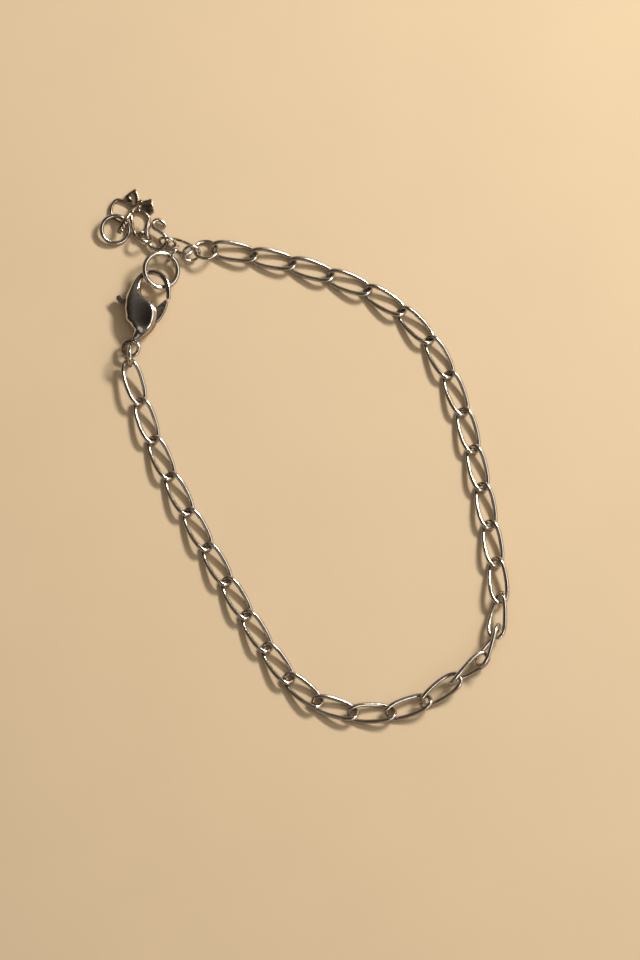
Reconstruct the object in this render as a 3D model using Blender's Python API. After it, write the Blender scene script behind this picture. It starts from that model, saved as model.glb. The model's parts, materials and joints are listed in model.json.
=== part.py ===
"""Chain bracelet with a lobster clasp and a leaf charm, laid flat in an open loop.

Sizes are in millimetres and angles in degrees. Meshes are made in metres, with +Z up.
The origin is on the surface that the bracelet lies on, under the middle of its outline.
"""
import math

import bmesh
import bpy
from mathutils import Matrix, Vector

MM = 0.001
COLLECTION = "chain_bracelet"
CUTTERS = "chain_bracelet_cutters"

# Curb chain
LINK_LENGTH = 6.98
LINK_WIDTH = 3.0
LINK_WIRE = 0.58
LINK_TWIST = 34.0
LINK_SQUARENESS = 3.0
LINK_PLAY = 0.18
LINK_SEGMENTS = 16

# Clasp: body, hook, eye, slot for the lever, and pin
CLASP_PLACE = (-21.84, 19.42)
CLASP_HEADING = 0.0
CLASP_ROLL = 8.0
CLASP_LENGTH = 10.0
CLASP_WIDTH = 4.6
CLASP_THICKNESS = 3.0
CLASP_SIDES = 12
EYE_HEADING = 66.0
EYE_OUTSIDE = 2.85
EYE_WIRE = 0.58
PIN_DIAMETER = 0.8
PIN_PLAY = 0.08
PIN_SKIN = 0.35
PIN_FOOT = 0.25
LEVER_THICKNESS = 0.8
LEVER_PLAY = 0.1
LEVER_OPENING = 18.0
SLOT_SPARE_TURN = 4.0
SLOT_TURNS = 8
SLOT_DIRECTIONS = 72
GATE_REACH = 3.55
GATE_ANGLE = 37.0
GATE_GAP = 0.15
GATE_TRIM = 1.2
TAB_REACH = 5.2
HUB_RADIUS = 0.95

# Rings, long link and hook of bent wire
RING_SEGMENTS = 16
CONNECTOR_OUTSIDE = 3.5
CONNECTOR_WIRE = 0.6
HOOK_RING_OUTSIDE = 5.6
HOOK_RING_WIRE = 0.7
END_RING_OUTSIDE = 3.7
END_RING_WIRE = 0.5
JOINING_RING_OUTSIDE = 2.7
JOINING_RING_WIRE = 0.42
LONG_LINK_LENGTH = 3.9
LONG_LINK_WIDTH = 2.4
LONG_LINK_WIRE = 0.42
HANGER_RING_OUTSIDE = 2.8
HANGER_RING_WIRE = 0.4
HOOK_EYE_RING_OUTSIDE = 2.7
HOOK_EYE_RING_WIRE = 0.4
S_HOOK_WIRE = 0.56
CHARM_RING_OUTSIDE = 2.7
CHARM_RING_WIRE = 0.42
LEAF_RING_OUTSIDE = 4.5
LEAF_RING_WIRE = 0.62

# Charm
CHARM_PLACE = (-23.6, 35.4)
LEAF_THICKNESS = 0.5
STEM_WIRE = 0.7
LEAF_WIRE = 0.5
BEAD_DIAMETER = 0.55
BEAD_SEGMENTS = 10
BEAD_RINGS = 6
HUB_DISC = 0.5
HUB_HEIGHT = 0.8

# The chain's way round, chosen by hand, from the connector ring to the end ring:
# place, how far it is lifted off the surface, roll about its own line, and how tight it is pulled.
CHAIN_ROUTE = [
    {"x": -24.43, "y": 12.75, "lift": 0.7, "roll": -5.0, "pull": 1},
    {"x": -20.87, "y": 1.82, "lift": 0.0, "roll": 0.0, "pull": 1},
    {"x": -15.96, "y": -8.33, "lift": 0.0, "roll": 0.0, "pull": 1},
    {"x": -10.57, "y": -18.12, "lift": 0.0, "roll": 0.0, "pull": 0.97},
    {"x": -5.04, "y": -27.35, "lift": 0.0, "roll": 0.0, "pull": 0.945},
    {"x": -2.00, "y": -31.69, "lift": 0.0, "roll": 0.0, "pull": 0.93},
    {"x": 1.82, "y": -34.96, "lift": 0.0, "roll": 0.0, "pull": 0.9},
    {"x": 6.65, "y": -36.6, "lift": 0.0, "roll": 0.0, "pull": 0.92},
    {"x": 11.90, "y": -36.67, "lift": 0.0, "roll": 0.0, "pull": 0.94},
    {"x": 17.05, "y": -35.03, "lift": 0.24, "roll": 5.0, "pull": 0.893},
    {"x": 20.95, "y": -32.29, "lift": 0.36, "roll": 34.0, "pull": 0.858},
    {"x": 24.83, "y": -29.34, "lift": 0.34, "roll": 85.0, "pull": 0.804},
    {"x": 26.89, "y": -25.53, "lift": 0.0, "roll": 125.0, "pull": 0.771},
    {"x": 27.56, "y": -20.47, "lift": 0.29, "roll": 163.0, "pull": 0.886},
    {"x": 26.95, "y": -14.93, "lift": 0.09, "roll": 177.0, "pull": 0.945},
    {"x": 25.05, "y": -4.19, "lift": 0.0, "roll": 180.0, "pull": 0.96},
    {"x": 22.43, "y": 6.32, "lift": 0.0, "roll": 180.0, "pull": 0.98},
    {"x": 20.42, "y": 11.65, "lift": 0.0, "roll": 180.0, "pull": 1},
    {"x": 17.64, "y": 16.63, "lift": 0.0, "roll": 180.0, "pull": 1},
    {"x": 13.72, "y": 20.60, "lift": 0.0, "roll": 180.0, "pull": 1},
    {"x": 8.82, "y": 23.59, "lift": 0.0, "roll": 180.0, "pull": 1},
    {"x": -1.61, "y": 27.28, "lift": 0.0, "roll": 180.0, "pull": 0.985},
    {"x": -12.32, "y": 29.41, "lift": 0.2, "roll": 180.0, "pull": 0.97},
]

# Sections of the clasp from the eye to the hook's end, as shares of its length, width and thickness.
# Places are counted from the pin.
CLASP_SECTIONS = [
    {"x": -0.186, "y": -0.344, "wide": 0.115, "thick": 0.18},
    {"x": -0.167, "y": -0.306, "wide": 0.20, "thick": 0.26},
    {"x": -0.122, "y": -0.257, "wide": 0.34, "thick": 0.46},
    {"x": -0.088, "y": -0.195, "wide": 0.58, "thick": 0.74},
    {"x": -0.068, "y": -0.090, "wide": 0.87, "thick": 0.95},
    {"x": -0.085, "y": 0.043, "wide": 1.02, "thick": 1.00},
    {"x": -0.146, "y": 0.168, "wide": 0.82, "thick": 0.94},
    {"x": -0.180, "y": 0.265, "wide": 0.57, "thick": 0.82},
    {"x": -0.176, "y": 0.362, "wide": 0.39, "thick": 0.62},
    {"x": -0.150, "y": 0.455, "wide": 0.30, "thick": 0.44},
    {"x": -0.116, "y": 0.537, "wide": 0.23, "thick": 0.34},
    {"x": -0.063, "y": 0.597, "wide": 0.185, "thick": 0.28},
    {"x": 0.000, "y": 0.633, "wide": 0.17, "thick": 0.26},
    {"x": 0.070, "y": 0.640, "wide": 0.165, "thick": 0.25},
    {"x": 0.154, "y": 0.616, "wide": 0.165, "thick": 0.25},
    {"x": 0.231, "y": 0.559, "wide": 0.165, "thick": 0.25},
    {"x": 0.280, "y": 0.476, "wide": 0.165, "thick": 0.25},
    {"x": 0.301, "y": 0.370, "wide": 0.16, "thick": 0.24},
    {"x": 0.304, "y": 0.245, "wide": 0.13, "thick": 0.20},
]

# Outline of the lever round the pin, as shares of the arm's reach.
LEVER_OUTLINE = [
    {"arm": "hub", "share": 1.00, "angle": 300.0},
    {"arm": "gate", "share": 0.49, "angle": 331.0},
    {"arm": "gate", "share": 0.72, "angle": 372.0},
    {"arm": "gate", "share": 1.00, "angle": 393.5},
    {"arm": "gate", "share": 1.00, "angle": 400.5},
    {"arm": "gate", "share": 0.45, "angle": 405.0},
    {"arm": "hub", "share": 1.00, "angle": 450.0},
    {"arm": "tab", "share": 0.42, "angle": 490.0},
    {"arm": "tab", "share": 0.82, "angle": 501.0},
    {"arm": "tab", "share": 0.94, "angle": 500.5},
    {"arm": "tab", "share": 1.00, "angle": 503.5},
    {"arm": "tab", "share": 1.00, "angle": 507.5},
    {"arm": "tab", "share": 0.93, "angle": 510.5},
    {"arm": "tab", "share": 0.71, "angle": 515.0},
    {"arm": "tab", "share": 0.35, "angle": 517.0},
    {"arm": "hub", "share": 1.00, "angle": 560.0},
    {"arm": "hub", "share": 1.00, "angle": 610.0},
]

# Where each ring's middle is, and how it is headed and tilted.
RING_PLACES = {
    "connector_ring": {"x": -24.2, "y": 13.85, "z": 1.75, "heading": -89.0, "tilt": 90.0},
    "hook_ring": {"x": -19.9, "y": 26.1, "z": 1.65, "heading": 76.0, "tilt": 20.5},
    "end_ring": {"x": -13.6, "y": 29.15, "z": 1.1, "heading": -2.0, "tilt": -29.0},
    "joining_ring": {"x": -15.65, "y": 28.6, "z": 1.35, "heading": 197.0, "tilt": -39.0},
    "long_link": {"x": -17.25, "y": 29.5, "z": 1.7, "heading": -21.0, "tilt": -24.0},
    "hanger_ring": {"x": -18.2, "y": 28.5, "z": 1.55, "heading": 58.0, "tilt": -81.5},
    "hook_eye_ring": {"x": -19.05, "y": 30.2, "z": 1.35, "heading": 166.0, "tilt": -72.0},
    "charm_ring": {"x": -22.35, "y": 31.0, "z": 1.1, "heading": -24.0, "tilt": -48.5},
    "leaf_ring": {"x": -26.45, "y": 32.2, "z": 0.65, "heading": 51.0, "tilt": 10.5},
}

# Middle line of the bent wire hook, from the open end round to the closed loop.
S_HOOK_ROUTE = [
    {"x": -19.30, "y": 32.65, "z": 0.35},
    {"x": -19.60, "y": 33.15, "z": 0.50},
    {"x": -20.40, "y": 33.60, "z": 0.65},
    {"x": -21.05, "y": 33.15, "z": 0.80},
    {"x": -20.95, "y": 32.40, "z": 1.00},
    {"x": -20.15, "y": 31.85, "z": 1.00},
    {"x": -19.40, "y": 31.20, "z": 0.95},
    {"x": -19.20, "y": 30.30, "z": 1.00},
    {"x": -20.00, "y": 29.35, "z": 0.90},
    {"x": -21.15, "y": 29.50, "z": 0.70},
    {"x": -21.75, "y": 30.40, "z": 0.75},
    {"x": -21.90, "y": 31.60, "z": 1.40},
    {"x": -21.95, "y": 32.45, "z": 1.70},
    {"x": -21.60, "y": 33.70, "z": 1.70},
]

# The charm, counted from the middle where its leaves meet.
STEM_ROUTE = [
    {"x": 0.05, "y": 0.10, "z": 0.45},
    {"x": -0.55, "y": -0.70, "z": 0.95},
    {"x": -1.35, "y": -1.90, "z": 1.42},
    {"x": -1.95, "y": -2.90, "z": 1.30},
    {"x": -2.35, "y": -3.65, "z": 0.85},
]
OPEN_LEAF_ROUTE = [
    {"x": -0.10, "y": 0.20, "z": 0.35},
    {"x": -1.45, "y": 0.95, "z": 0.25},
    {"x": -2.65, "y": 1.20, "z": 0.25},
    {"x": -3.35, "y": 0.40, "z": 0.25},
    {"x": -3.45, "y": -0.65, "z": 0.25},
    {"x": -3.05, "y": -1.50, "z": 0.27},
    {"x": -2.35, "y": -2.10, "z": 0.75},
    {"x": -1.70, "y": -2.40, "z": 1.30},
]
LOOP_ROUTE = [
    {"x": 0.10, "y": -0.20, "z": 0.40},
    {"x": 1.15, "y": -0.60, "z": 0.35},
    {"x": 1.80, "y": -1.25, "z": 0.30},
    {"x": 1.90, "y": -2.15, "z": 0.30},
    {"x": 1.65, "y": -3.20, "z": 0.60},
    {"x": 1.05, "y": -4.10, "z": 0.95},
    {"x": 0.25, "y": -4.15, "z": 0.50},
    {"x": -0.25, "y": -3.25, "z": 0.45},
    {"x": -0.50, "y": -2.10, "z": 0.95},
    {"x": -0.60, "y": -1.10, "z": 0.95},
    {"x": -0.60, "y": -0.75, "z": 1.00},
]
TOP_LEAF_RIM = [
    {"x": 0.15, "y": -0.10},
    {"x": 0.25, "y": 1.15},
    {"x": 0.10, "y": 1.90},
    {"x": -0.15, "y": 2.50},
    {"x": -0.70, "y": 2.15},
    {"x": -1.20, "y": 1.70},
    {"x": -0.75, "y": 1.00},
    {"x": -0.15, "y": 0.10},
]
SIDE_LEAF_OUTLINE = [
    {"x": 0.00, "y": -0.25},
    {"x": 0.55, "y": -0.50},
    {"x": 1.34, "y": -0.75},
    {"x": 2.11, "y": -0.94},
    {"x": 2.67, "y": -0.51},
    {"x": 2.46, "y": 0.48},
    {"x": 2.25, "y": 1.41},
    {"x": 1.34, "y": 1.15},
    {"x": 0.64, "y": 0.95},
    {"x": 0.00, "y": 0.25},
]
BEAD_PLACES = [
    {"x": 0.50, "y": 0.15, "z": 0.60},
    {"x": 0.45, "y": -0.40, "z": 0.60},
    {"x": 0.75, "y": 0.95, "z": 0.55},
    {"x": -0.45, "y": -0.75, "z": 1.30},
    {"x": -1.15, "y": -2.05, "z": 1.60},
    {"x": -1.40, "y": -2.45, "z": 1.55},
    {"x": -1.65, "y": -2.90, "z": 1.45},
    {"x": -1.90, "y": -3.35, "z": 1.15},
]


def clear_scene():
    for obj in list(bpy.data.objects):
        bpy.data.objects.remove(obj, do_unlink=True)
    for collection in list(bpy.data.collections):
        bpy.data.collections.remove(collection)


def new_collection(name):
    collection = bpy.data.collections.new(name)
    bpy.context.scene.collection.children.link(collection)
    return collection


def metal(name, colour, roughness):
    material = bpy.data.materials.new(name)
    material.use_nodes = True
    shader = material.node_tree.nodes["Principled BSDF"]
    shader.inputs["Base Color"].default_value = (*colour, 1.0)
    shader.inputs["Metallic"].default_value = 1.0
    shader.inputs["Roughness"].default_value = roughness
    return material


def add_object(name, mesh, material, matrix=None):
    obj = bpy.data.objects.new(name, mesh)
    bpy.data.collections[COLLECTION].objects.link(obj)
    if matrix is not None:
        obj.matrix_world = matrix
    obj.data.materials.clear()
    obj.data.materials.append(material)
    obj.data.shade_smooth()
    return obj


def placed(place, heading=0.0, tilt=0.0):
    """Matrix of a piece at a place in mm, tilted about its X, then headed."""
    turn = Matrix.Rotation(math.radians(heading), 4, "Z") @ Matrix.Rotation(math.radians(tilt), 4, "X")
    return Matrix.Translation(Vector(place) * MM) @ turn


def route_points(rows):
    return [Vector((row["x"], row["y"], row["z"])) for row in rows]


def smooth_path(points, steps, closed=False):
    """Points on a smooth curve through the given ones, with some steps in each span."""
    count = len(points)
    spans = count if closed else count - 1
    path = []
    for span in range(spans):
        if closed:
            near = [points[(span + k) % count] for k in (-1, 0, 1, 2)]
        else:
            near = [points[min(max(span + k, 0), count - 1)] for k in (-1, 0, 1, 2)]
        a, b, c, d = (Vector(point) for point in near)
        for step in range(steps):
            t = step / steps
            path.append(0.5 * (2 * b + (c - a) * t + (2 * a - 5 * b + 4 * c - d) * t * t
                               + (3 * b - a - 3 * c + d) * t * t * t))
    if not closed:
        path.append(Vector(points[-1]))
    return path


def wire_mesh(points, diameter, closed, sides_level=1):
    """Mesh of a round wire along points in mm, made from a curve and with its caps welded."""
    curve = bpy.data.curves.new("wire", "CURVE")
    curve.dimensions = "3D"
    curve.bevel_depth = diameter / 2 * MM
    curve.bevel_resolution = sides_level
    curve.use_fill_caps = True
    spline = curve.splines.new("POLY")
    spline.points.add(len(points) - 1)
    for target, point in zip(spline.points, points):
        target.co = (*(Vector(point) * MM), 1.0)
    spline.use_cyclic_u = closed
    obj = bpy.data.objects.new("wire", curve)
    bpy.context.scene.collection.objects.link(obj)
    mesh = new_mesh_from(obj)
    bpy.data.objects.remove(obj, do_unlink=True)
    bpy.data.curves.remove(curve)
    return mesh


def new_mesh_from(obj):
    graph = bpy.context.evaluated_depsgraph_get()
    mesh = bpy.data.meshes.new_from_object(obj.evaluated_get(graph))
    work = bmesh.new()
    work.from_mesh(mesh)
    bmesh.ops.remove_doubles(work, verts=work.verts, dist=1e-6)
    bmesh.ops.recalc_face_normals(work, faces=work.faces)
    work.to_mesh(mesh)
    work.free()
    return mesh


def ring_points(outside_length, outside_width, wire, count):
    half_length = (outside_length - wire) / 2
    half_width = (outside_width - wire) / 2
    points = []
    for index in range(count):
        angle = math.tau * index / count
        points.append((half_length * math.cos(angle), half_width * math.sin(angle), 0.0))
    return points


def stadium_points(outside_length, outside_width, wire, count):
    """Oval of two straight sides and two half rounds."""
    radius = (outside_width - wire) / 2
    reach = (outside_length - wire) / 2 - radius
    points = []
    for index in range(count):
        angle = math.tau * (index + 0.5) / count - math.pi / 2
        middle = reach if math.cos(angle) > 0 else -reach
        points.append((middle + radius * math.cos(angle), radius * math.sin(angle), 0.0))
    return points


def link_points():
    """Middle line of one curb link: an oval twisted along its length, so its ends lean opposite ways."""
    half_length = (LINK_LENGTH - LINK_WIRE) / 2
    half_width = (LINK_WIDTH - LINK_WIRE) / 2
    power = 2.0 / LINK_SQUARENESS
    points = []
    for index in range(LINK_SEGMENTS):
        angle = math.tau * (index + 0.5) / LINK_SEGMENTS
        along = math.copysign(abs(math.cos(angle)) ** power, math.cos(angle))
        across = half_width * math.copysign(abs(math.sin(angle)) ** power, math.sin(angle))
        twist = -math.radians(LINK_TWIST) * along
        points.append((half_length * along, across * math.cos(twist), across * math.sin(twist)))
    return points


def lying_height(roll):
    """Height of a link's middle when it lies on the surface, rolled about its own line."""
    angle = math.radians(roll)
    lowest = min(y * math.sin(angle) + z * math.cos(angle) for _, y, z in link_points())
    return LINK_WIRE / 2 - lowest


def chain_joints():
    """Places and rolls where one link hooks into the next, along the chain's way round."""
    points = [(row["x"], row["y"], row["lift"], row["roll"], row["pull"]) for row in CHAIN_ROUTE]
    columns = [Vector(point[:4]) for point in points]
    pulls = [(point[4], 0.0, 0.0) for point in points]
    fine = smooth_path(columns, 40)
    tight = [value.x for value in smooth_path(pulls, 40)]
    pitch = LINK_LENGTH - 2 * LINK_WIRE - LINK_PLAY
    places = [Vector((row[0], row[1], row[2] + lying_height(row[3]))) for row in fine]
    counted = [0.0]
    for index in range(1, len(places)):
        step = (places[index] - places[index - 1]).length
        counted.append(counted[-1] + step / (pitch * tight[index]))
    links = round(counted[-1])
    joints = []
    index = 0
    for joint in range(links + 1):
        target = counted[-1] * joint / links
        while index < len(counted) - 2 and counted[index + 1] < target:
            index += 1
        share = (target - counted[index]) / (counted[index + 1] - counted[index])
        place = places[index].lerp(places[index + 1], share)
        roll = fine[index][3] + (fine[index + 1][3] - fine[index][3]) * share
        joints.append((place, roll))
    return joints


def build_chain(material):
    mesh = wire_mesh(link_points(), LINK_WIRE, True)
    joints = chain_joints()
    for number in range(1, len(joints)):
        start, start_roll = joints[number - 1]
        end, end_roll = joints[number]
        line = (end - start).normalized()
        side = Vector((0.0, 0.0, 1.0)).cross(line).normalized()
        frame = Matrix((line, side, line.cross(side))).transposed().to_4x4()
        roll = Matrix.Rotation(math.radians((start_roll + end_roll) / 2), 4, "X")
        matrix = Matrix.Translation((start + end) / 2 * MM) @ frame @ roll
        sunk = min(0.0, min((matrix @ vertex.co).z for vertex in mesh.vertices))
        matrix = Matrix.Translation((0.0, 0.0, -sunk)) @ matrix
        add_object(f"link_{number:02d}", mesh.copy(), material, matrix)
    bpy.data.meshes.remove(mesh)


def clasp_loft():
    """Closed body through the clasp's sections, each an oval across its middle line."""
    rows = [(row["x"] * CLASP_LENGTH, row["y"] * CLASP_LENGTH, row["wide"] * CLASP_WIDTH / 2,
             row["thick"] * CLASP_THICKNESS / 2) for row in CLASP_SECTIONS]
    path = smooth_path([Vector(row) for row in rows], 2)
    work = bmesh.new()
    rings = []
    for index, row in enumerate(path):
        before = path[max(index - 1, 0)]
        after = path[min(index + 1, len(path) - 1)]
        line = Vector((after[0] - before[0], after[1] - before[1], 0.0)).normalized()
        side = Vector((line.y, -line.x, 0.0))
        middle = Vector((row[0], row[1], 0.0))
        ring = []
        for corner in range(CLASP_SIDES):
            angle = math.tau * corner / CLASP_SIDES
            offset = side * row[2] * math.cos(angle) + Vector((0, 0, row[3] * math.sin(angle)))
            ring.append(work.verts.new((middle + offset) * MM))
        rings.append(ring)
    for first, second in zip(rings, rings[1:]):
        for corner in range(CLASP_SIDES):
            following = (corner + 1) % CLASP_SIDES
            work.faces.new((first[corner], first[following], second[following], second[corner]))
    work.faces.new(rings[0])
    work.faces.new(rings[-1])
    bmesh.ops.recalc_face_normals(work, faces=work.faces)
    mesh = bpy.data.meshes.new("clasp_body")
    work.to_mesh(mesh)
    work.free()
    return mesh


def lever_outline():
    reach = {"hub": HUB_RADIUS, "gate": GATE_REACH, "tab": TAB_REACH}
    points = []
    for row in LEVER_OUTLINE:
        radius = reach[row["arm"]] * row["share"]
        angle = math.radians(row["angle"])
        points.append(Vector((radius * math.cos(angle), radius * math.sin(angle))))
    return points


def outline_radius(points, angle):
    """How far the outline reaches from the pin in one direction."""
    ray = Vector((math.cos(angle), math.sin(angle)))
    farthest = 0.0
    for index, start in enumerate(points):
        edge = points[(index + 1) % len(points)] - start
        cross = ray.x * edge.y - ray.y * edge.x
        if abs(cross) < 1e-9:
            continue
        along = (start.x * edge.y - start.y * edge.x) / cross
        share = (start.x * ray.y - start.y * ray.x) / cross
        if along > 0 and -1e-6 <= share <= 1 + 1e-6:
            farthest = max(farthest, along)
    return farthest


def slot_outline():
    """Outline of the space that the lever sweeps, with its clearance round it."""
    outline = lever_outline()
    swept = LEVER_OPENING + 2 * SLOT_SPARE_TURN
    turns = [-SLOT_SPARE_TURN + swept * step / SLOT_TURNS for step in range(SLOT_TURNS + 1)]
    points = []
    for index in range(SLOT_DIRECTIONS):
        angle = math.tau * index / SLOT_DIRECTIONS
        reach = max(outline_radius(outline, angle - math.radians(turn)) for turn in turns)
        reach += LEVER_PLAY
        points.append(Vector((reach * math.cos(angle), reach * math.sin(angle))))
    return points


def plate_mesh(points, thickness):
    """Flat plate of an outline in mm, centred on its own plane."""
    curve = bpy.data.curves.new("plate", "CURVE")
    curve.dimensions = "2D"
    curve.fill_mode = "BOTH"
    curve.extrude = thickness / 2 * MM
    spline = curve.splines.new("POLY")
    spline.points.add(len(points) - 1)
    for target, point in zip(spline.points, points):
        target.co = (point[0] * MM, point[1] * MM, 0.0, 1.0)
    spline.use_cyclic_u = True
    obj = bpy.data.objects.new("plate", curve)
    bpy.context.scene.collection.objects.link(obj)
    mesh = new_mesh_from(obj)
    bpy.data.objects.remove(obj, do_unlink=True)
    bpy.data.curves.remove(curve)
    return mesh


def cylinder_mesh(radius, bottom, top, sides=16):
    work = bmesh.new()
    middle = Matrix.Translation((0.0, 0.0, (bottom + top) / 2 * MM))
    bmesh.ops.create_cone(work, cap_ends=True, segments=sides, radius1=radius * MM,
                          radius2=radius * MM, depth=(top - bottom) * MM, matrix=middle)
    mesh = bpy.data.meshes.new("cylinder")
    work.to_mesh(mesh)
    work.free()
    return mesh


def box_mesh(size):
    work = bmesh.new()
    bmesh.ops.create_cube(work, size=1.0)
    bmesh.ops.scale(work, vec=Vector(size) * MM, verts=work.verts)
    mesh = bpy.data.meshes.new("box")
    work.to_mesh(mesh)
    work.free()
    return mesh


def combine(mesh, tools):
    """Mesh after joining or cutting with other meshes in turn, each with its operation and matrix."""
    body = bpy.data.objects.new("work", mesh)
    bpy.context.scene.collection.objects.link(body)
    helpers = []
    for operation, tool_mesh, matrix in tools:
        helper = bpy.data.objects.new("tool", tool_mesh)
        bpy.data.collections[CUTTERS].objects.link(helper)
        helper.matrix_world = matrix
        helper.hide_render = True
        helper.display_type = "WIRE"
        modifier = body.modifiers.new("cut", "BOOLEAN")
        modifier.operation = operation
        modifier.solver = "EXACT"
        modifier.object = helper
        helpers.append(helper)
    bpy.context.view_layer.update()
    result = new_mesh_from(body)
    for obj in [body] + helpers:
        bpy.data.objects.remove(obj, do_unlink=True)
    return result


def eye_place():
    """Middle of the eye, whose wire the clasp's neck ends in."""
    neck = CLASP_SECTIONS[0]
    radius = (EYE_OUTSIDE - EYE_WIRE) / 2
    heading = math.radians(EYE_HEADING)
    return (neck["x"] * CLASP_LENGTH - radius * math.cos(heading),
            neck["y"] * CLASP_LENGTH - radius * math.sin(heading), 0.0)


def build_clasp(material, lever_material):
    frame = bpy.data.objects.new("clasp_frame", None)
    bpy.data.collections[COLLECTION].objects.link(frame)
    here = Matrix.Identity(4)
    eye = wire_mesh(ring_points(EYE_OUTSIDE, EYE_OUTSIDE, EYE_WIRE, RING_SEGMENTS), EYE_WIRE, True)
    slot = plate_mesh(slot_outline(), LEVER_THICKNESS + 2 * LEVER_PLAY)
    half = CLASP_THICKNESS / 2
    bore = cylinder_mesh(PIN_DIAMETER / 2 + PIN_PLAY, -2 * half, half - PIN_SKIN - PIN_PLAY)
    gate = math.radians(GATE_ANGLE)
    trim_middle = GATE_REACH + GATE_GAP - GATE_TRIM / 2
    trim_place = (trim_middle * math.cos(gate), trim_middle * math.sin(gate), 0.0)
    tools = [
        ("UNION", eye, placed(eye_place(), EYE_HEADING)),
        ("DIFFERENCE", slot, here),
        ("DIFFERENCE", bore, here),
        ("DIFFERENCE", box_mesh((GATE_TRIM, GATE_TRIM, CLASP_THICKNESS)), placed(trim_place, GATE_ANGLE)),
    ]
    body_mesh = combine(clasp_loft(), tools)
    turn = Matrix.Rotation(math.radians(CLASP_HEADING), 4, "Z")
    turn = turn @ Matrix.Rotation(-math.radians(CLASP_ROLL), 4, "Y")
    height = -min((turn @ vertex.co).z for vertex in body_mesh.vertices)
    place = Vector((CLASP_PLACE[0] * MM, CLASP_PLACE[1] * MM, height))
    frame.matrix_world = Matrix.Translation(place) @ turn
    bpy.context.view_layer.update()
    hole = cylinder_mesh(PIN_DIAMETER / 2 + PIN_PLAY, -half, half)
    lever_mesh = combine(plate_mesh(lever_outline(), LEVER_THICKNESS), [("DIFFERENCE", hole, here)])
    pin_mesh = cylinder_mesh(PIN_DIAMETER / 2, -half + PIN_FOOT, half - PIN_SKIN - 2 * PIN_PLAY)
    pieces = [
        add_object("clasp_body", body_mesh, material),
        add_object("clasp_lever", lever_mesh, lever_material),
        add_object("clasp_pin", pin_mesh, material),
    ]
    for piece in pieces:
        piece.parent = frame


def ring_matrix(name):
    row = RING_PLACES[name]
    return placed((row["x"], row["y"], row["z"]), row["heading"], row["tilt"])


def add_ring(name, material, outside, wire):
    points = ring_points(outside, outside, wire, RING_SEGMENTS)
    add_object(name, wire_mesh(points, wire, True), material, ring_matrix(name))


def build_rings(material):
    add_ring("connector_ring", material, CONNECTOR_OUTSIDE, CONNECTOR_WIRE)
    add_ring("hook_ring", material, HOOK_RING_OUTSIDE, HOOK_RING_WIRE)
    add_ring("end_ring", material, END_RING_OUTSIDE, END_RING_WIRE)
    add_ring("joining_ring", material, JOINING_RING_OUTSIDE, JOINING_RING_WIRE)
    add_ring("hanger_ring", material, HANGER_RING_OUTSIDE, HANGER_RING_WIRE)
    add_ring("hook_eye_ring", material, HOOK_EYE_RING_OUTSIDE, HOOK_EYE_RING_WIRE)
    points = stadium_points(LONG_LINK_LENGTH, LONG_LINK_WIDTH, LONG_LINK_WIRE, RING_SEGMENTS)
    add_object("long_link", wire_mesh(points, LONG_LINK_WIRE, True), material, ring_matrix("long_link"))


def build_s_hook(material):
    path = smooth_path(route_points(S_HOOK_ROUTE), 3)
    add_object("s_hook", wire_mesh(path, S_HOOK_WIRE, False), material)


def build_charm_rings(material):
    add_ring("charm_ring", material, CHARM_RING_OUTSIDE, CHARM_RING_WIRE)
    add_ring("leaf_ring", material, LEAF_RING_OUTSIDE, LEAF_RING_WIRE)


def bead_mesh(diameter):
    work = bmesh.new()
    bmesh.ops.create_uvsphere(work, u_segments=BEAD_SEGMENTS, v_segments=BEAD_RINGS,
                              radius=diameter / 2 * MM)
    mesh = bpy.data.meshes.new("bead")
    work.to_mesh(mesh)
    work.free()
    return mesh


def build_charm(material):
    here = Matrix.Identity(4)
    tools = []
    for route, wire in ((STEM_ROUTE, STEM_WIRE), (OPEN_LEAF_ROUTE, LEAF_WIRE), (LOOP_ROUTE, LEAF_WIRE)):
        tools.append(("UNION", wire_mesh(smooth_path(route_points(route), 2), wire, False), here))
    rim = [Vector((row["x"], row["y"], LEAF_WIRE / 2)) for row in TOP_LEAF_RIM]
    tools.append(("UNION", wire_mesh(rim, LEAF_WIRE, True), here))
    plate = plate_mesh([(row["x"], row["y"]) for row in SIDE_LEAF_OUTLINE], LEAF_THICKNESS)
    tools.append(("UNION", plate, Matrix.Translation((0.0, 0.0, LEAF_THICKNESS / 2 * MM))))
    for row in BEAD_PLACES:
        tools.append(("UNION", bead_mesh(BEAD_DIAMETER), placed((row["x"], row["y"], row["z"]))))
    middle = cylinder_mesh(HUB_DISC, 0.0, HUB_HEIGHT)
    add_object("leaf_charm", combine(middle, tools), material, placed((*CHARM_PLACE, 0.0)))


def centre_on_origin():
    """Move everything so that the origin is under the middle of the outline, on the surface."""
    bpy.context.view_layer.update()
    pieces = [obj for obj in bpy.data.collections[COLLECTION].objects if obj.type == "MESH"]
    corners = [obj.matrix_world @ vertex.co for obj in pieces for vertex in obj.data.vertices]
    lowest = Vector([min(corner[axis] for corner in corners) for axis in range(3)])
    highest = Vector([max(corner[axis] for corner in corners) for axis in range(3)])
    middle = (lowest + highest) / 2
    middle.z = lowest.z
    for obj in bpy.data.collections[COLLECTION].objects:
        if obj.parent is None:
            obj.matrix_world = Matrix.Translation(-middle) @ obj.matrix_world
    bpy.context.view_layer.update()


def main():
    clear_scene()
    new_collection(COLLECTION)
    new_collection(CUTTERS)
    steel = metal("polished_steel", (0.86, 0.85, 0.83), 0.14)
    build_chain(steel)
    build_clasp(steel, metal("lever_steel", (0.8, 0.79, 0.77), 0.2))
    build_rings(metal("ring_steel", (0.84, 0.83, 0.81), 0.12))
    build_s_hook(metal("hook_steel", (0.84, 0.83, 0.81), 0.12))
    build_charm_rings(metal("charm_ring_steel", (0.82, 0.8, 0.77), 0.16))
    build_charm(metal("charm_steel", (0.8, 0.78, 0.75), 0.18))
    centre_on_origin()


main()
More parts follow.
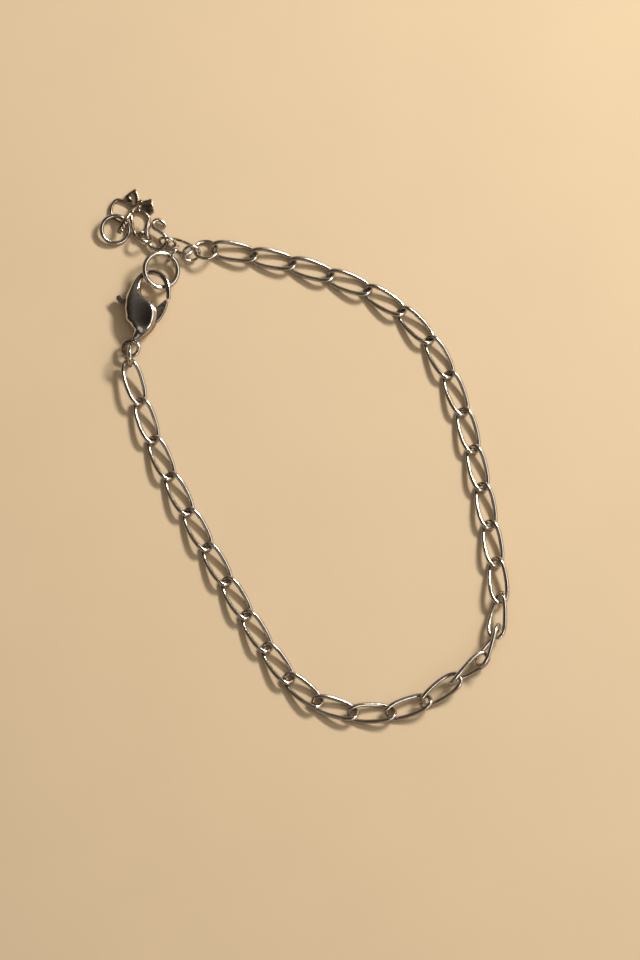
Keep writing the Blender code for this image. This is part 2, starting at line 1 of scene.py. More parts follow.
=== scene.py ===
"""Looks of the chain bracelet: curb chain, lobster clasp, jump rings, bent hook and leaf charm.

Sizes are in metres, +Z is up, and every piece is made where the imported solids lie.
"""
import json
import math

import bmesh
import bpy
import numpy as np
from bpy.props import FloatProperty, FloatVectorProperty, IntProperty, PointerProperty
from mathutils import Matrix, Vector
from mathutils.bvhtree import BVHTree


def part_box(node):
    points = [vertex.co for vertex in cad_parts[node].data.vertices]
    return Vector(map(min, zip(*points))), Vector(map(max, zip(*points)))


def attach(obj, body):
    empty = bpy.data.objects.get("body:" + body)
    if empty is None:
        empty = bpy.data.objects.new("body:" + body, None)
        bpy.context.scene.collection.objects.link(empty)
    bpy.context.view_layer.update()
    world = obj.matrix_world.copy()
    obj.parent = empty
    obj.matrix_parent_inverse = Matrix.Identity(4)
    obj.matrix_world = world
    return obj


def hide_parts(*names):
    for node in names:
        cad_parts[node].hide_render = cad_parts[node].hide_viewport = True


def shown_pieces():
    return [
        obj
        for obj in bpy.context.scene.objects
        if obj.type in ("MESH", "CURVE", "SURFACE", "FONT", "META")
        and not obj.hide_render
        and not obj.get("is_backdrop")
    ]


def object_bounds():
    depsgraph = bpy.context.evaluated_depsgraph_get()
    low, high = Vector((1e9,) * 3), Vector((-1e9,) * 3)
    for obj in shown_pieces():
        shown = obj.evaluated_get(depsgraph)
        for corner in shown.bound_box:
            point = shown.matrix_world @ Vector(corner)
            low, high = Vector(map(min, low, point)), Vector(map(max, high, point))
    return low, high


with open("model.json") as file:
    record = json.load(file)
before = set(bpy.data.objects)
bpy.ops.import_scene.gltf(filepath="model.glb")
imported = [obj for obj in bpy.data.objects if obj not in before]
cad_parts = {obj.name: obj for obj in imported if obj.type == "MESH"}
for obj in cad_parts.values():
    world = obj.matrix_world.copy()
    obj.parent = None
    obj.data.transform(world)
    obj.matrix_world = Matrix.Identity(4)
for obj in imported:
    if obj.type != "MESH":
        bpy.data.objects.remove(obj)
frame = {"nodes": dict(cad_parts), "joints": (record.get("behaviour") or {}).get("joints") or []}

bl_info = {
    "name": "Chain bracelet",
    "version": (1, 0, 0),
    "blender": (4, 5, 0),
    "location": "View3D > Sidebar > Bracelet",
    "description": "Makes the finished pieces of a chain bracelet and its studio stage",
    "category": "Object",
}

MM = 0.001

# Clasp: pin, gate, eye, and the slot that the lever sweeps. Angles are in degrees
PIN_PLAY = 0.08 * MM
PIN_SKIN = 0.35 * MM
PIN_FOOT = 0.25 * MM
PIN_EDGE = 0.06 * MM
GATE_ANGLE = 37.0
GATE_GAP = 0.15 * MM
GATE_TRIM = 1.2 * MM
EYE_HEADING = 66.0
LEVER_OPENING = 18.0
SLOT_SPARE_TURN = 4.0
SLOT_TURNS = 8
SLOT_DIRECTIONS = 144

# Rounded edges, and the angle in degrees from which an edge is shaded sharp
EDGE_SEGMENTS = 3
SHARP_FROM = 35.0
CAST_SHARP_FROM = 30.0
FLAT_WITHIN = 1e-9

# Solder lump on a link: its middle and its spread, as shares of the way round
SOLDER_PLACE = 0.25
SOLDER_SPREAD = 0.012

# Bent wires, and the middle of the charm
WIRE_STEP = 0.05 * MM
WIRE_SIDES = 18
HUB_EDGE = 0.1 * MM

# Brown in the metal's colour, partly real stains and partly painted shade: the rays that look for cover by
# nearby pieces, whose hits paint shade in recesses and where pieces touch, the share of painted shade that
# an underside gets, the share of real stains, and the most there is
SHADE_RAY_REACH = 0.9 * MM
SHADE_RAY_LIFT = 0.01 * MM
SHADE_RAYS = 7
RAY_ASIDE = 0.75
RAY_AHEAD = 0.66
UNDERSIDE_FROM = 0.75
UNDERSIDE_SPAN = 0.5
UNDERSIDE_SHADE = 0.85
STAIN_FILM = 0.18
MOST_STAIN_AND_SHADE = 0.85

# Stage: half the floor's width, and each light's place in metres, width, height and tint
FLOOR_REACH = 1.5
LIGHTS = {
    "key": ((0.33, 0.30, 0.36), 0.22, 0.08, (1.0, 0.93, 0.82)),
    "fill": ((-0.35, -0.30, 0.40), 0.25, 0.25, (1.0, 0.95, 0.88)),
    "side": ((0.46, 0.02, 0.42), 0.5, 0.3, (1.0, 0.96, 0.9)),
    "overhead": ((0.0, 0.0, 0.6), 0.6, 0.6, (1.0, 0.88, 0.72)),
    "rim": ((0.32, -0.36, 0.40), 0.34, 0.14, (1.0, 0.97, 0.92)),
}

# Surroundings: their shades at the horizon (0), straight up (1) and between, their strength in the middle,
# and how much it grows towards +X
WORLD_SHADES = (
    (0.0, (0.30, 0.20, 0.11)), (1.0, (0.02, 0.015, 0.01)), (0.35, (0.13, 0.09, 0.055)),
    (0.72, (0.23, 0.205, 0.175)), (0.93, (0.05, 0.04, 0.03)),
)
WORLD_STRENGTH = 0.85
WORLD_RISE = 0.75

# Rings and the long link: which way the cut in the wire faces, and its width in millimetres
RING_CUTS = {
    "connector_ring": ((0.3, -0.5, -0.8), 0.03),
    "hook_ring": ((0.8, 0.6, 0.0), 0.035),
    "end_ring": ((0.1, -1.0, 0.0), 0.03),
    "joining_ring": ((-0.2, -1.0, 0.1), 0.03),
    "long_link": ((0.2, 1.0, 0.0), 0.03),
    "hanger_ring": ((0.5, 0.2, -0.8), 0.03),
    "hook_eye_ring": ((-0.2, 0.3, -0.9), 0.03),
    "charm_ring": ((0.4, 0.6, -0.6), 0.03),
    "leaf_ring": ((-0.7, 0.7, 0.0), 0.035),
}

# Sections of the clasp from the eye to the hook's end: place from the pin, as shares of the length, then
# shares of the width and thickness, and how far its upper side is drawn out into a ridge at the throat
CLASP_SECTIONS = (
    (-0.186, -0.344, 0.115, 0.18, 0.0),
    (-0.167, -0.306, 0.20, 0.26, 0.0),
    (-0.122, -0.257, 0.34, 0.46, 0.0),
    (-0.088, -0.195, 0.58, 0.74, 0.15),
    (-0.068, -0.090, 0.87, 0.95, 0.30),
    (-0.085, 0.043, 1.02, 1.00, 0.40),
    (-0.146, 0.168, 0.82, 0.94, 0.45),
    (-0.180, 0.265, 0.57, 0.82, 0.45),
    (-0.176, 0.362, 0.39, 0.62, 0.35),
    (-0.150, 0.455, 0.30, 0.44, 0.15),
    (-0.116, 0.537, 0.23, 0.34, 0.0),
    (-0.063, 0.597, 0.185, 0.28, 0.0),
    (0.000, 0.633, 0.17, 0.26, 0.0),
    (0.070, 0.640, 0.165, 0.25, 0.0),
    (0.154, 0.616, 0.165, 0.25, 0.0),
    (0.231, 0.559, 0.165, 0.25, 0.0),
    (0.280, 0.476, 0.165, 0.25, 0.0),
    (0.301, 0.370, 0.16, 0.24, 0.0),
    (0.304, 0.245, 0.13, 0.20, 0.0),
)

# Outline of the lever round the pin: its arm, share of the arm's reach, and direction in degrees
LEVER_OUTLINE = (
    ("hub", 1.00, 300.0),
    ("gate", 0.49, 331.0),
    ("gate", 0.72, 372.0),
    ("gate", 1.00, 393.5),
    ("gate", 1.00, 400.5),
    ("gate", 0.45, 405.0),
    ("hub", 1.00, 450.0),
    ("tab", 0.42, 490.0),
    ("tab", 0.82, 501.0),
    ("tab", 0.94, 500.5),
    ("tab", 1.00, 503.5),
    ("tab", 1.00, 507.5),
    ("tab", 0.93, 510.5),
    ("tab", 0.71, 515.0),
    ("tab", 0.35, 517.0),
    ("hub", 1.00, 560.0),
    ("hub", 1.00, 610.0),
)

# Middle lines of the bent wires, in millimetres, as the solids have them. All of the bent hook's points,
# and six of the loop's, are rounded results of a search that kept these thin wires from touching
S_HOOK_ROUTE = [
    (-19.30, 32.65, 0.35), (-19.60, 33.15, 0.50), (-20.40, 33.60, 0.65), (-21.05, 33.15, 0.80),
    (-20.95, 32.40, 1.00), (-20.15, 31.85, 1.00), (-19.40, 31.20, 0.95), (-19.20, 30.30, 1.00),
    (-20.00, 29.35, 0.90), (-21.15, 29.50, 0.70), (-21.75, 30.40, 0.75), (-21.90, 31.60, 1.40),
    (-21.95, 32.45, 1.70), (-21.60, 33.70, 1.70),
]
STEM_ROUTE = [
    (0.05, 0.10, 0.45), (-0.55, -0.70, 0.95), (-1.35, -1.90, 1.42), (-1.95, -2.90, 1.30),
    (-2.35, -3.65, 0.85),
]
OPEN_LEAF_ROUTE = [
    (-0.10, 0.20, 0.35), (-1.45, 0.95, 0.25), (-2.65, 1.20, 0.25), (-3.35, 0.40, 0.25),
    (-3.45, -0.65, 0.25), (-3.05, -1.50, 0.27), (-2.35, -2.10, 0.75), (-1.70, -2.40, 1.30),
]
LOOP_ROUTE = [
    (0.10, -0.20, 0.40), (1.15, -0.60, 0.35), (1.80, -1.25, 0.30), (1.90, -2.15, 0.30),
    (1.65, -3.20, 0.60), (1.05, -4.10, 0.95), (0.25, -4.15, 0.50), (-0.25, -3.25, 0.45),
    (-0.50, -2.10, 0.95), (-0.60, -1.10, 0.95), (-0.60, -0.75, 1.00),
]
TOP_LEAF_RIM = [
    (0.15, -0.10), (0.25, 1.15), (0.10, 1.90), (-0.15, 2.50), (-0.70, 2.15), (-1.20, 1.70),
    (-0.75, 1.00), (-0.15, 0.10),
]
SIDE_LEAF_OUTLINE = [
    (0.00, -0.25), (0.55, -0.50), (1.34, -0.75), (2.11, -0.94), (2.67, -0.51), (2.46, 0.48),
    (2.25, 1.41), (1.34, 1.15), (0.64, 0.95), (0.00, 0.25),
]
BEAD_PLACES = [
    (0.50, 0.15, 0.60), (0.45, -0.40, 0.60), (0.75, 0.95, 0.55), (-0.45, -0.75, 1.30),
    (-1.15, -2.05, 1.60), (-1.40, -2.45, 1.55), (-1.65, -2.90, 1.45), (-1.90, -3.35, 1.15),
]


def size(name, millimetres, description):
    return FloatProperty(name=name, description=description, default=millimetres * MM, min=0.0,
                         precision=5, unit="LENGTH")


def angle(name, degrees, description):
    return FloatProperty(name=name, description=description, default=math.radians(degrees),
                         subtype="ANGLE")


def colour(name, value, description):
    return FloatVectorProperty(name=name, description=description, default=value, size=3, min=0.0,
                               max=1.0, subtype="COLOR")


def power(name, watts, description):
    return FloatProperty(name=name, description=description, default=watts, min=0.0, unit="POWER")


def share(name, value, description):
    return FloatProperty(name=name, description=description, default=value, min=0.0, max=1.0,
                         subtype="FACTOR")


class ChainSizes(bpy.types.PropertyGroup):
    link_length: size("Link length", 6.98, "Outside length of a link")
    link_width: size("Link width", 3.0, "Outside width of a link")
    wire: size("Wire", 0.62, "Diameter of the link's wire")
    twist: angle("Twist", 34.0, "How far each end of a link leans")
    squareness: FloatProperty(name="Squareness", description="How straight a link's long sides are",
                              default=3.0, min=2.0, max=6.0)
    solder: share("Solder", 0.05, "How far the soldered joint stands out, as a share of the wire")
    steps: IntProperty(name="Steps", description="Steps round a link", default=96, min=16)
    sides: IntProperty(name="Sides", description="Sides of the wire", default=14, min=6)


class RingSizes(bpy.types.PropertyGroup):
    connector_ring_outside: size("Connector ring", 3.5, "Outside diameter of the ring at the clasp's eye")
    connector_ring_wire: size("Connector wire", 0.6, "Wire of the ring at the clasp's eye")
    hook_ring_outside: size("Hook ring", 5.6, "Outside diameter of the ring that the hook holds")
    hook_ring_wire: size("Hook ring wire", 0.7, "Wire of the ring that the hook holds")
    end_ring_outside: size("End ring", 3.7, "Outside diameter of the ring at the chain's end")
    end_ring_wire: size("End ring wire", 0.5, "Wire of the ring at the chain's end")
    joining_ring_outside: size("Joining ring", 2.7, "Outside diameter of the joining ring")
    joining_ring_wire: size("Joining wire", 0.42, "Wire of the joining ring")
    long_link_outside: size("Long link", 3.9, "Outside length of the long link")
    long_link_width: size("Long link width", 2.4, "Outside width of the long link")
    long_link_wire: size("Long link wire", 0.42, "Wire of the long link")
    hanger_ring_outside: size("Hanger ring", 2.8, "Outside diameter of the ring on the hook ring")
    hanger_ring_wire: size("Hanger wire", 0.4, "Wire of the ring on the hook ring")
    hook_eye_ring_outside: size("Hook eye ring", 2.7, "Outside diameter of the bent hook's ring")
    hook_eye_ring_wire: size("Hook eye wire", 0.4, "Wire of the bent hook's ring")
    charm_ring_outside: size("Charm ring", 2.7, "Outside diameter of the charm's small ring")
    charm_ring_wire: size("Charm ring wire", 0.42, "Wire of the charm's small ring")
    leaf_ring_outside: size("Leaf ring", 4.5, "Outside diameter of the charm's large ring")
    leaf_ring_wire: size("Leaf ring wire", 0.62, "Wire of the charm's large ring")
    steps: IntProperty(name="Steps", description="Steps round a ring", default=96, min=16)
    sides: IntProperty(name="Sides", description="Sides of the wire", default=20, min=6)


class ClaspSizes(bpy.types.PropertyGroup):
    length: size("Length", 10.0, "Length that the clasp's sections are shares of")
    width: size("Width", 4.6, "Widest place of the body")
    thickness: size("Thickness", 3.0, "Thickest place of the body")
    fullness: FloatProperty(name="Fullness", description="Squareness of the body's sections",
                            default=2.7, min=2.0, max=4.0)
    eye_outside: size("Eye", 2.85, "Outside diameter of the eye")
    eye_wire: size("Eye wire", 0.58, "Thickness of the eye")
    pin: size("Pin", 0.8, "Diameter of the pin")
    play: size("Play", 0.1, "Clearance round the lever and the pin")
    lever_thickness: size("Lever", 0.8, "Thickness of the lever")
    gate_reach: size("Gate reach", 3.55, "From the pin to the gate's tip")
    tab_reach: size("Tab reach", 5.2, "From the pin to the thumb tab's end")
    hub_radius: size("Hub", 0.95, "Radius of the lever round the pin")
    lever_edge: size("Lever edge", 0.18, "Width of the lever's rounded edges")


class CharmSizes(bpy.types.PropertyGroup):
    stem_wire: size("Stem", 0.7, "Thickness of the charm's stem")
    leaf_wire: size("Leaf wire", 0.5, "Thickness of the open leaves' outline")
    hook_wire: size("Hook wire", 0.56, "Wire of the bent hook")
    leaf_thickness: size("Leaf", 0.5, "Thickness of the leaf plates")
    leaf_edge: size("Leaf edge", 0.12, "Width of the leaves' rounded edges")
    bead: size("Bead", 0.55, "Diameter of the beads on the stem")
    hub: size("Hub", 1.0, "Diameter of the middle where the leaves meet")
    hub_height: size("Hub height", 0.8, "Height of the middle where the leaves meet")


class FinishColours(bpy.types.PropertyGroup):
    chain: colour("Chain", (0.80, 0.775, 0.735), "Polished steel of the chain")
    clasp: colour("Clasp", (0.82, 0.80, 0.765), "Polished steel of the clasp")
    lever: colour("Lever", (0.74, 0.72, 0.69), "Satin steel of the lever")
    ring: colour("Rings", (0.80, 0.775, 0.735), "Polished steel of the rings")
    charm: colour("Charm", (0.58, 0.50, 0.41), "Duller steel of the charm")
    # Brown of real stains, also used as painted shade in recesses, where pieces touch and on undersides
    stain_and_shade_brown: colour("Tarnish", (0.20, 0.13, 0.07), "Brown film in sheltered places")
    floor: colour("Floor", (0.76, 0.61, 0.42), "Plain pale floor")


class StageSizes(bpy.types.PropertyGroup):
    elevation: angle("Camera height", 80.0, "How far the camera looks down")
    distance: FloatProperty(name="Camera distance", description="From the camera to the bracelet",
                            default=0.7, min=0.1, unit="LENGTH")
    view_height: size("View height", 134.4, "Height of the picture at the bracelet")
    target: FloatVectorProperty(name="Camera target", description="Point in the picture's middle",
                                default=(0.00238, -0.0038, 0.00085), size=3, unit="LENGTH")
    key: power("Key light", 3.4, "Power of the key light")
    fill: power("Fill light", 0.06, "Power of the fill light")
    side: power("Side light", 0.6, "Power of the soft light from the right")
    overhead: power("Overhead light", 0.6, "Power of the light that opens the shadows")
    rim: power("Rim light", 0.5, "Power of the light that only the metal mirrors")


class BraceletSettings(bpy.types.PropertyGroup):
    chain: PointerProperty(type=ChainSizes, name="Chain", description="Sizes of the curb chain")
    rings: PointerProperty(type=RingSizes, name="Rings", description="Sizes of the rings")
    clasp: PointerProperty(type=ClaspSizes, name="Clasp", description="Sizes of the clasp")
    charm: PointerProperty(type=CharmSizes, name="Charm", description="Sizes of the charm")
    finish: PointerProperty(type=FinishColours, name="Finish", description="Colours")
    stage: PointerProperty(type=StageSizes, name="Stage", description="Camera and lights")


class NodeWork:
    """A node tree being built, with short ways to add nodes, sums and links."""

    def __init__(self, tree):
        self.tree = tree

    def feed(self, socket, value):
        if isinstance(value, bpy.types.NodeSocket):
            self.tree.links.new(value, socket)
        else:
            socket.default_value = value

    def add(self, kind, inputs=None, **settings):
        node = self.tree.nodes.new(kind)
        for setting, value in settings.items():
            setattr(node, setting, value)
        for socket, value in (inputs or {}).items():
            self.feed(node.inputs[socket], value)
        return node

    def sum(self, operation, *values):
        return self.add("ShaderNodeMath", dict(enumerate(values)), operation=operation).outputs[0]


def form_tree(name, sizes):
    """New Geometry Nodes tree with its sizes as named inputs, and the group's input node."""
    tree = bpy.data.node_groups.new(name, "GeometryNodeTree")
    tree.interface.new_socket("Geometry", in_out="INPUT", socket_type="NodeSocketGeometry")
    for label in sizes:
        kind = "NodeSocketInt" if label in ("Steps", "Sides") else "NodeSocketFloat"
        tree.interface.new_socket(label, in_out="INPUT", socket_type=kind)
    tree.interface.new_socket("Material", in_out="INPUT", socket_type="NodeSocketMaterial")
    tree.interface.new_socket("Geometry", in_out="OUTPUT", socket_type="NodeSocketGeometry")
    work = NodeWork(tree)
    return work, work.add("NodeGroupInput")


def end_tree(work, given, geometry):
    """Ends a tree in Realize Instances and Set Material."""
    realized = work.add("GeometryNodeRealizeInstances", {"Geometry": geometry})
    finished = work.add("GeometryNodeSetMaterial", {"Geometry": realized.outputs["Geometry"],
                                                    "Material": given.outputs["Material"]})
    work.add("NodeGroupOutput", {"Geometry": finished.outputs["Geometry"]})
    return work.tree


def swept_wire(work, curve, wire, sides, caps):
    """Round wire along a curve, shaded smooth."""
    radius = work.sum("MULTIPLY", wire, 0.5)
    profile = work.add("GeometryNodeCurvePrimitiveCircle", {"Resolution": sides, "Radius": radius})
    swept = work.add("GeometryNodeCurveToMesh", {"Curve": curve, "Fill Caps": caps,
                                                 "Profile Curve": profile.outputs["Curve"]})
    return work.add("GeometryNodeSetShadeSmooth", {"Geometry": swept.outputs["Mesh"]}).outputs[0]


def set_on_points(work, given, shape):
    """A copy of the shape at each point, turned as the point's own turn says."""
    turn = work.add("GeometryNodeInputNamedAttribute", {"Name": "turn"}, data_type="FLOAT_VECTOR")
    rotation = work.add("FunctionNodeEulerToRotation", {"Euler": turn.outputs["Attribute"]})
    copies = work.add("GeometryNodeInstanceOnPoints", {"Points": given.outputs["Geometry"],
                                                       "Instance": shape,
                                                       "Rotation": rotation.outputs["Rotation"]})
    return copies.outputs["Instances"]


def curb_link_tree():
    """Twisted oval links, one at each point."""
    sizes = ("Length", "Width", "Wire", "Twist", "Squareness", "Solder", "Steps", "Sides")
    work, given = form_tree("Curb links", sizes)
    value = {label: given.outputs[label] for label in sizes}
    circle = work.add("GeometryNodeCurvePrimitiveCircle", {"Resolution": value["Steps"],
                                                           "Radius": 1.0})
    place = work.add("ShaderNodeSeparateXYZ", {0: work.add("GeometryNodeInputPosition").outputs[0]})
    power = work.sum("DIVIDE", 2.0, value["Squareness"])

    def squared(axis):
        raised = work.sum("POWER", work.sum("ABSOLUTE", place.outputs[axis]), power)
        return work.sum("MULTIPLY", raised, work.sum("SIGN", place.outputs[axis]))

    along = squared("X")
    half_width = work.sum("MULTIPLY", work.sum("SUBTRACT", value["Width"], value["Wire"]), 0.5)
    half_length = work.sum("MULTIPLY", work.sum("SUBTRACT", value["Length"], value["Wire"]), 0.5)
    across = work.sum("MULTIPLY", squared("Y"), half_width)
    twist = work.sum("MULTIPLY", work.sum("MULTIPLY", value["Twist"], along), -1.0)
    middle = work.add("ShaderNodeCombineXYZ", {
        "X": work.sum("MULTIPLY", half_length, along),
        "Y": work.sum("MULTIPLY", across, work.sum("COSINE", twist)),
        "Z": work.sum("MULTIPLY", across, work.sum("SINE", twist)),
    })
    oval = work.add("GeometryNodeSetPosition", {"Geometry": circle.outputs["Curve"],
                                                "Position": middle.outputs["Vector"]})
    share_round = work.add("GeometryNodeSplineParameter").outputs["Factor"]
    away = work.sum("DIVIDE", work.sum("SUBTRACT", share_round, SOLDER_PLACE), SOLDER_SPREAD)
    lump = work.sum("EXPONENT", work.sum("MULTIPLY", work.sum("MULTIPLY", away, away), -1.0))
    radius = work.sum("ADD", 1.0, work.sum("MULTIPLY", lump, value["Solder"]))
    soldered = work.add("GeometryNodeSetCurveRadius", {"Curve": oval.outputs["Geometry"],
                                                       "Radius": radius})
    link = swept_wire(work, soldered.outputs["Curve"], value["Wire"], value["Sides"], False)
    return end_tree(work, given, set_on_points(work, given, link))


def jump_ring_tree():
    """Ring of round wire with a fine cut that faces +X. Longer than wide, it gets straighter sides."""
    sizes = ("Length", "Width", "Wire", "Cut", "Steps", "Sides")
    work, given = form_tree("Jump ring", sizes)
    value = {label: given.outputs[label] for label in sizes}
    radius = work.sum("MULTIPLY", work.sum("SUBTRACT", value["Width"], value["Wire"]), 0.5)
    cut_angle = work.sum("DIVIDE", value["Cut"], radius)
    arc = work.add("GeometryNodeCurveArc", {
        "Resolution": value["Steps"], "Radius": radius,
        "Start Angle": work.sum("MULTIPLY", cut_angle, 0.5),
        "Sweep Angle": work.sum("SUBTRACT", math.tau, cut_angle),
    }, mode="RADIUS")
    place = work.add("ShaderNodeSeparateXYZ", {0: work.add("GeometryNodeInputPosition").outputs[0]})
    reach = work.sum("MULTIPLY", work.sum("SUBTRACT", value["Length"], value["Width"]), 0.5)
    straight = work.sum("MULTIPLY", radius, 0.5)
    pulled = work.add("ShaderNodeClamp", {"Value": work.sum("DIVIDE", place.outputs["Y"], straight),
                                          "Min": -1.0, "Max": 1.0})
    shift = work.add("ShaderNodeCombineXYZ", {"Y": work.sum("MULTIPLY", pulled.outputs[0], reach)})
    drawn = work.add("GeometryNodeSetPosition", {"Geometry": arc.outputs["Curve"],
                                                 "Offset": shift.outputs["Vector"]})
    ring = swept_wire(work, drawn.outputs["Geometry"], value["Wire"], value["Sides"], True)
    return end_tree(work, given, set_on_points(work, given, ring))


def bent_wire_tree():
    """Round wire with rounded tips along a smooth line through the given points."""
    sizes = ("Wire", "Step", "Sides")
    work, given = form_tree("Bent wire", sizes)
    value = {label: given.outputs[label] for label in sizes}
    line = work.add("GeometryNodeMeshToCurve", {"Mesh": given.outputs["Geometry"]})
    smooth = work.add("GeometryNodeCurveSplineType", {"Curve": line.outputs["Curve"]},
                      spline_type="CATMULL_ROM")
    fine = work.add("GeometryNodeSetSplineResolution", {"Geometry": smooth.outputs["Curve"],
                                                        "Resolution": 16})
    even = work.add("GeometryNodeResampleCurve", {"Curve": fine.outputs["Geometry"],
                                                  "Length": value["Step"]}, mode="LENGTH")
    radius = work.sum("MULTIPLY", value["Wire"], 0.5)
    start = work.add("GeometryNodeSplineParameter").outputs["Length"]
    whole = work.add("GeometryNodeSplineLength").outputs["Length"]
    nearest = work.sum("MINIMUM", start, work.sum("SUBTRACT", whole, start))
    inside = work.sum("MAXIMUM", work.sum("SUBTRACT", 1.0, work.sum("DIVIDE", nearest, radius)), 0.0)
    kept = work.sum("SUBTRACT", 1.0, work.sum("MULTIPLY", inside, inside))
    tip = work.sum("SQRT", work.sum("MAXIMUM", kept, 0.01))
    tipped = work.add("GeometryNodeSetCurveRadius", {"Curve": even.outputs["Curve"], "Radius": tip})
    wire = swept_wire(work, tipped.outputs["Curve"], value["Wire"], value["Sides"], True)
    return end_tree(work, given, wire)


def bead_tree():
    """A small bead at each point."""
    work, given = form_tree("Beads", ("Diameter",))
    ball = work.add("GeometryNodeMeshUVSphere", {
        "Segments": 20, "Rings": 12,
        "Radius": work.sum("MULTIPLY", given.outputs["Diameter"], 0.5),
    })
    round_ball = work.add("GeometryNodeSetShadeSmooth", {"Geometry": ball.outputs["Mesh"]})
    return end_tree(work, given, set_on_points(work, given, round_ball.outputs[0]))


def points_mesh(places, turns=None, joined=False):
    """Mesh of bare points, or of points joined in a line, with each point's turn."""
    mesh = bpy.data.meshes.new("points")
    edges = [(index, index + 1) for index in range(len(places) - 1)] if joined else []
    mesh.from_pydata([tuple(place) for place in places], edges, [])
    if turns is not None:
        attribute = mesh.attributes.new("turn", "FLOAT_VECTOR", "POINT")
        for item, turn in zip(attribute.data, turns):
            item.vector = turn
    return mesh


def formed(name, mesh, tree, values, material):
    """Plain mesh that a Geometry Nodes tree makes of a mesh, with its inputs set."""
    obj = bpy.data.objects.new(name, mesh)
    bpy.context.scene.collection.objects.link(obj)
    modifier = obj.modifiers.new("form", "NODES")
    modifier.node_group = tree
    for socket in tree.interface.items_tree:
        if socket.item_type == "SOCKET" and socket.in_out == "INPUT" and socket.name in values:
            modifier[socket.identifier] = values[socket.name]
        if socket.item_type == "SOCKET" and socket.name == "Material":
            modifier[socket.identifier] = material
    bpy.context.view_layer.update()
    graph = bpy.context.evaluated_depsgraph_get()
    result = bpy.data.meshes.new_from_object(obj.evaluated_get(graph))
    obj.modifiers.remove(modifier)
    bpy.data.objects.remove(obj)
    if not result.polygons:
        raise RuntimeError(f"{name} came out empty")
    if result.attributes.get("turn"):
        result.attributes.remove(result.attributes["turn"])
    result.name = name
    return result


def piece(name, mesh, material, body, slot, *nodes):
    """Finished piece that rides on a body and stands for its solids."""
    obj = bpy.data.objects.new(name, mesh)
    bpy.context.scene.collection.objects.link(obj)
    mesh.materials.clear()
    mesh.materials.append(material)
    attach(obj, body)
    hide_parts(*nodes)
    return obj


def corners_of(node):
    """Separate corners of a solid, in metres."""
    solid = frame["nodes"][node].data
    places = np.array([vertex.co for vertex in solid.vertices], float)
    return np.unique(places.round(7), axis=0)


def lie_of(node):
    """Middle of a solid and its own axes, the longest first."""
    corners = corners_of(node)
    middle = corners.mean(axis=0)
    _, axes = np.linalg.eigh(np.cov((corners - middle).T))
    return Vector(middle), [Vector(axes[:, column]).normalized() for column in (2, 1, 0)]


def turn_of(along, across):
    """Turn of a piece whose X and Y axes point these ways."""
    return Matrix((along, across, along.cross(across))).transposed().to_euler("XYZ")


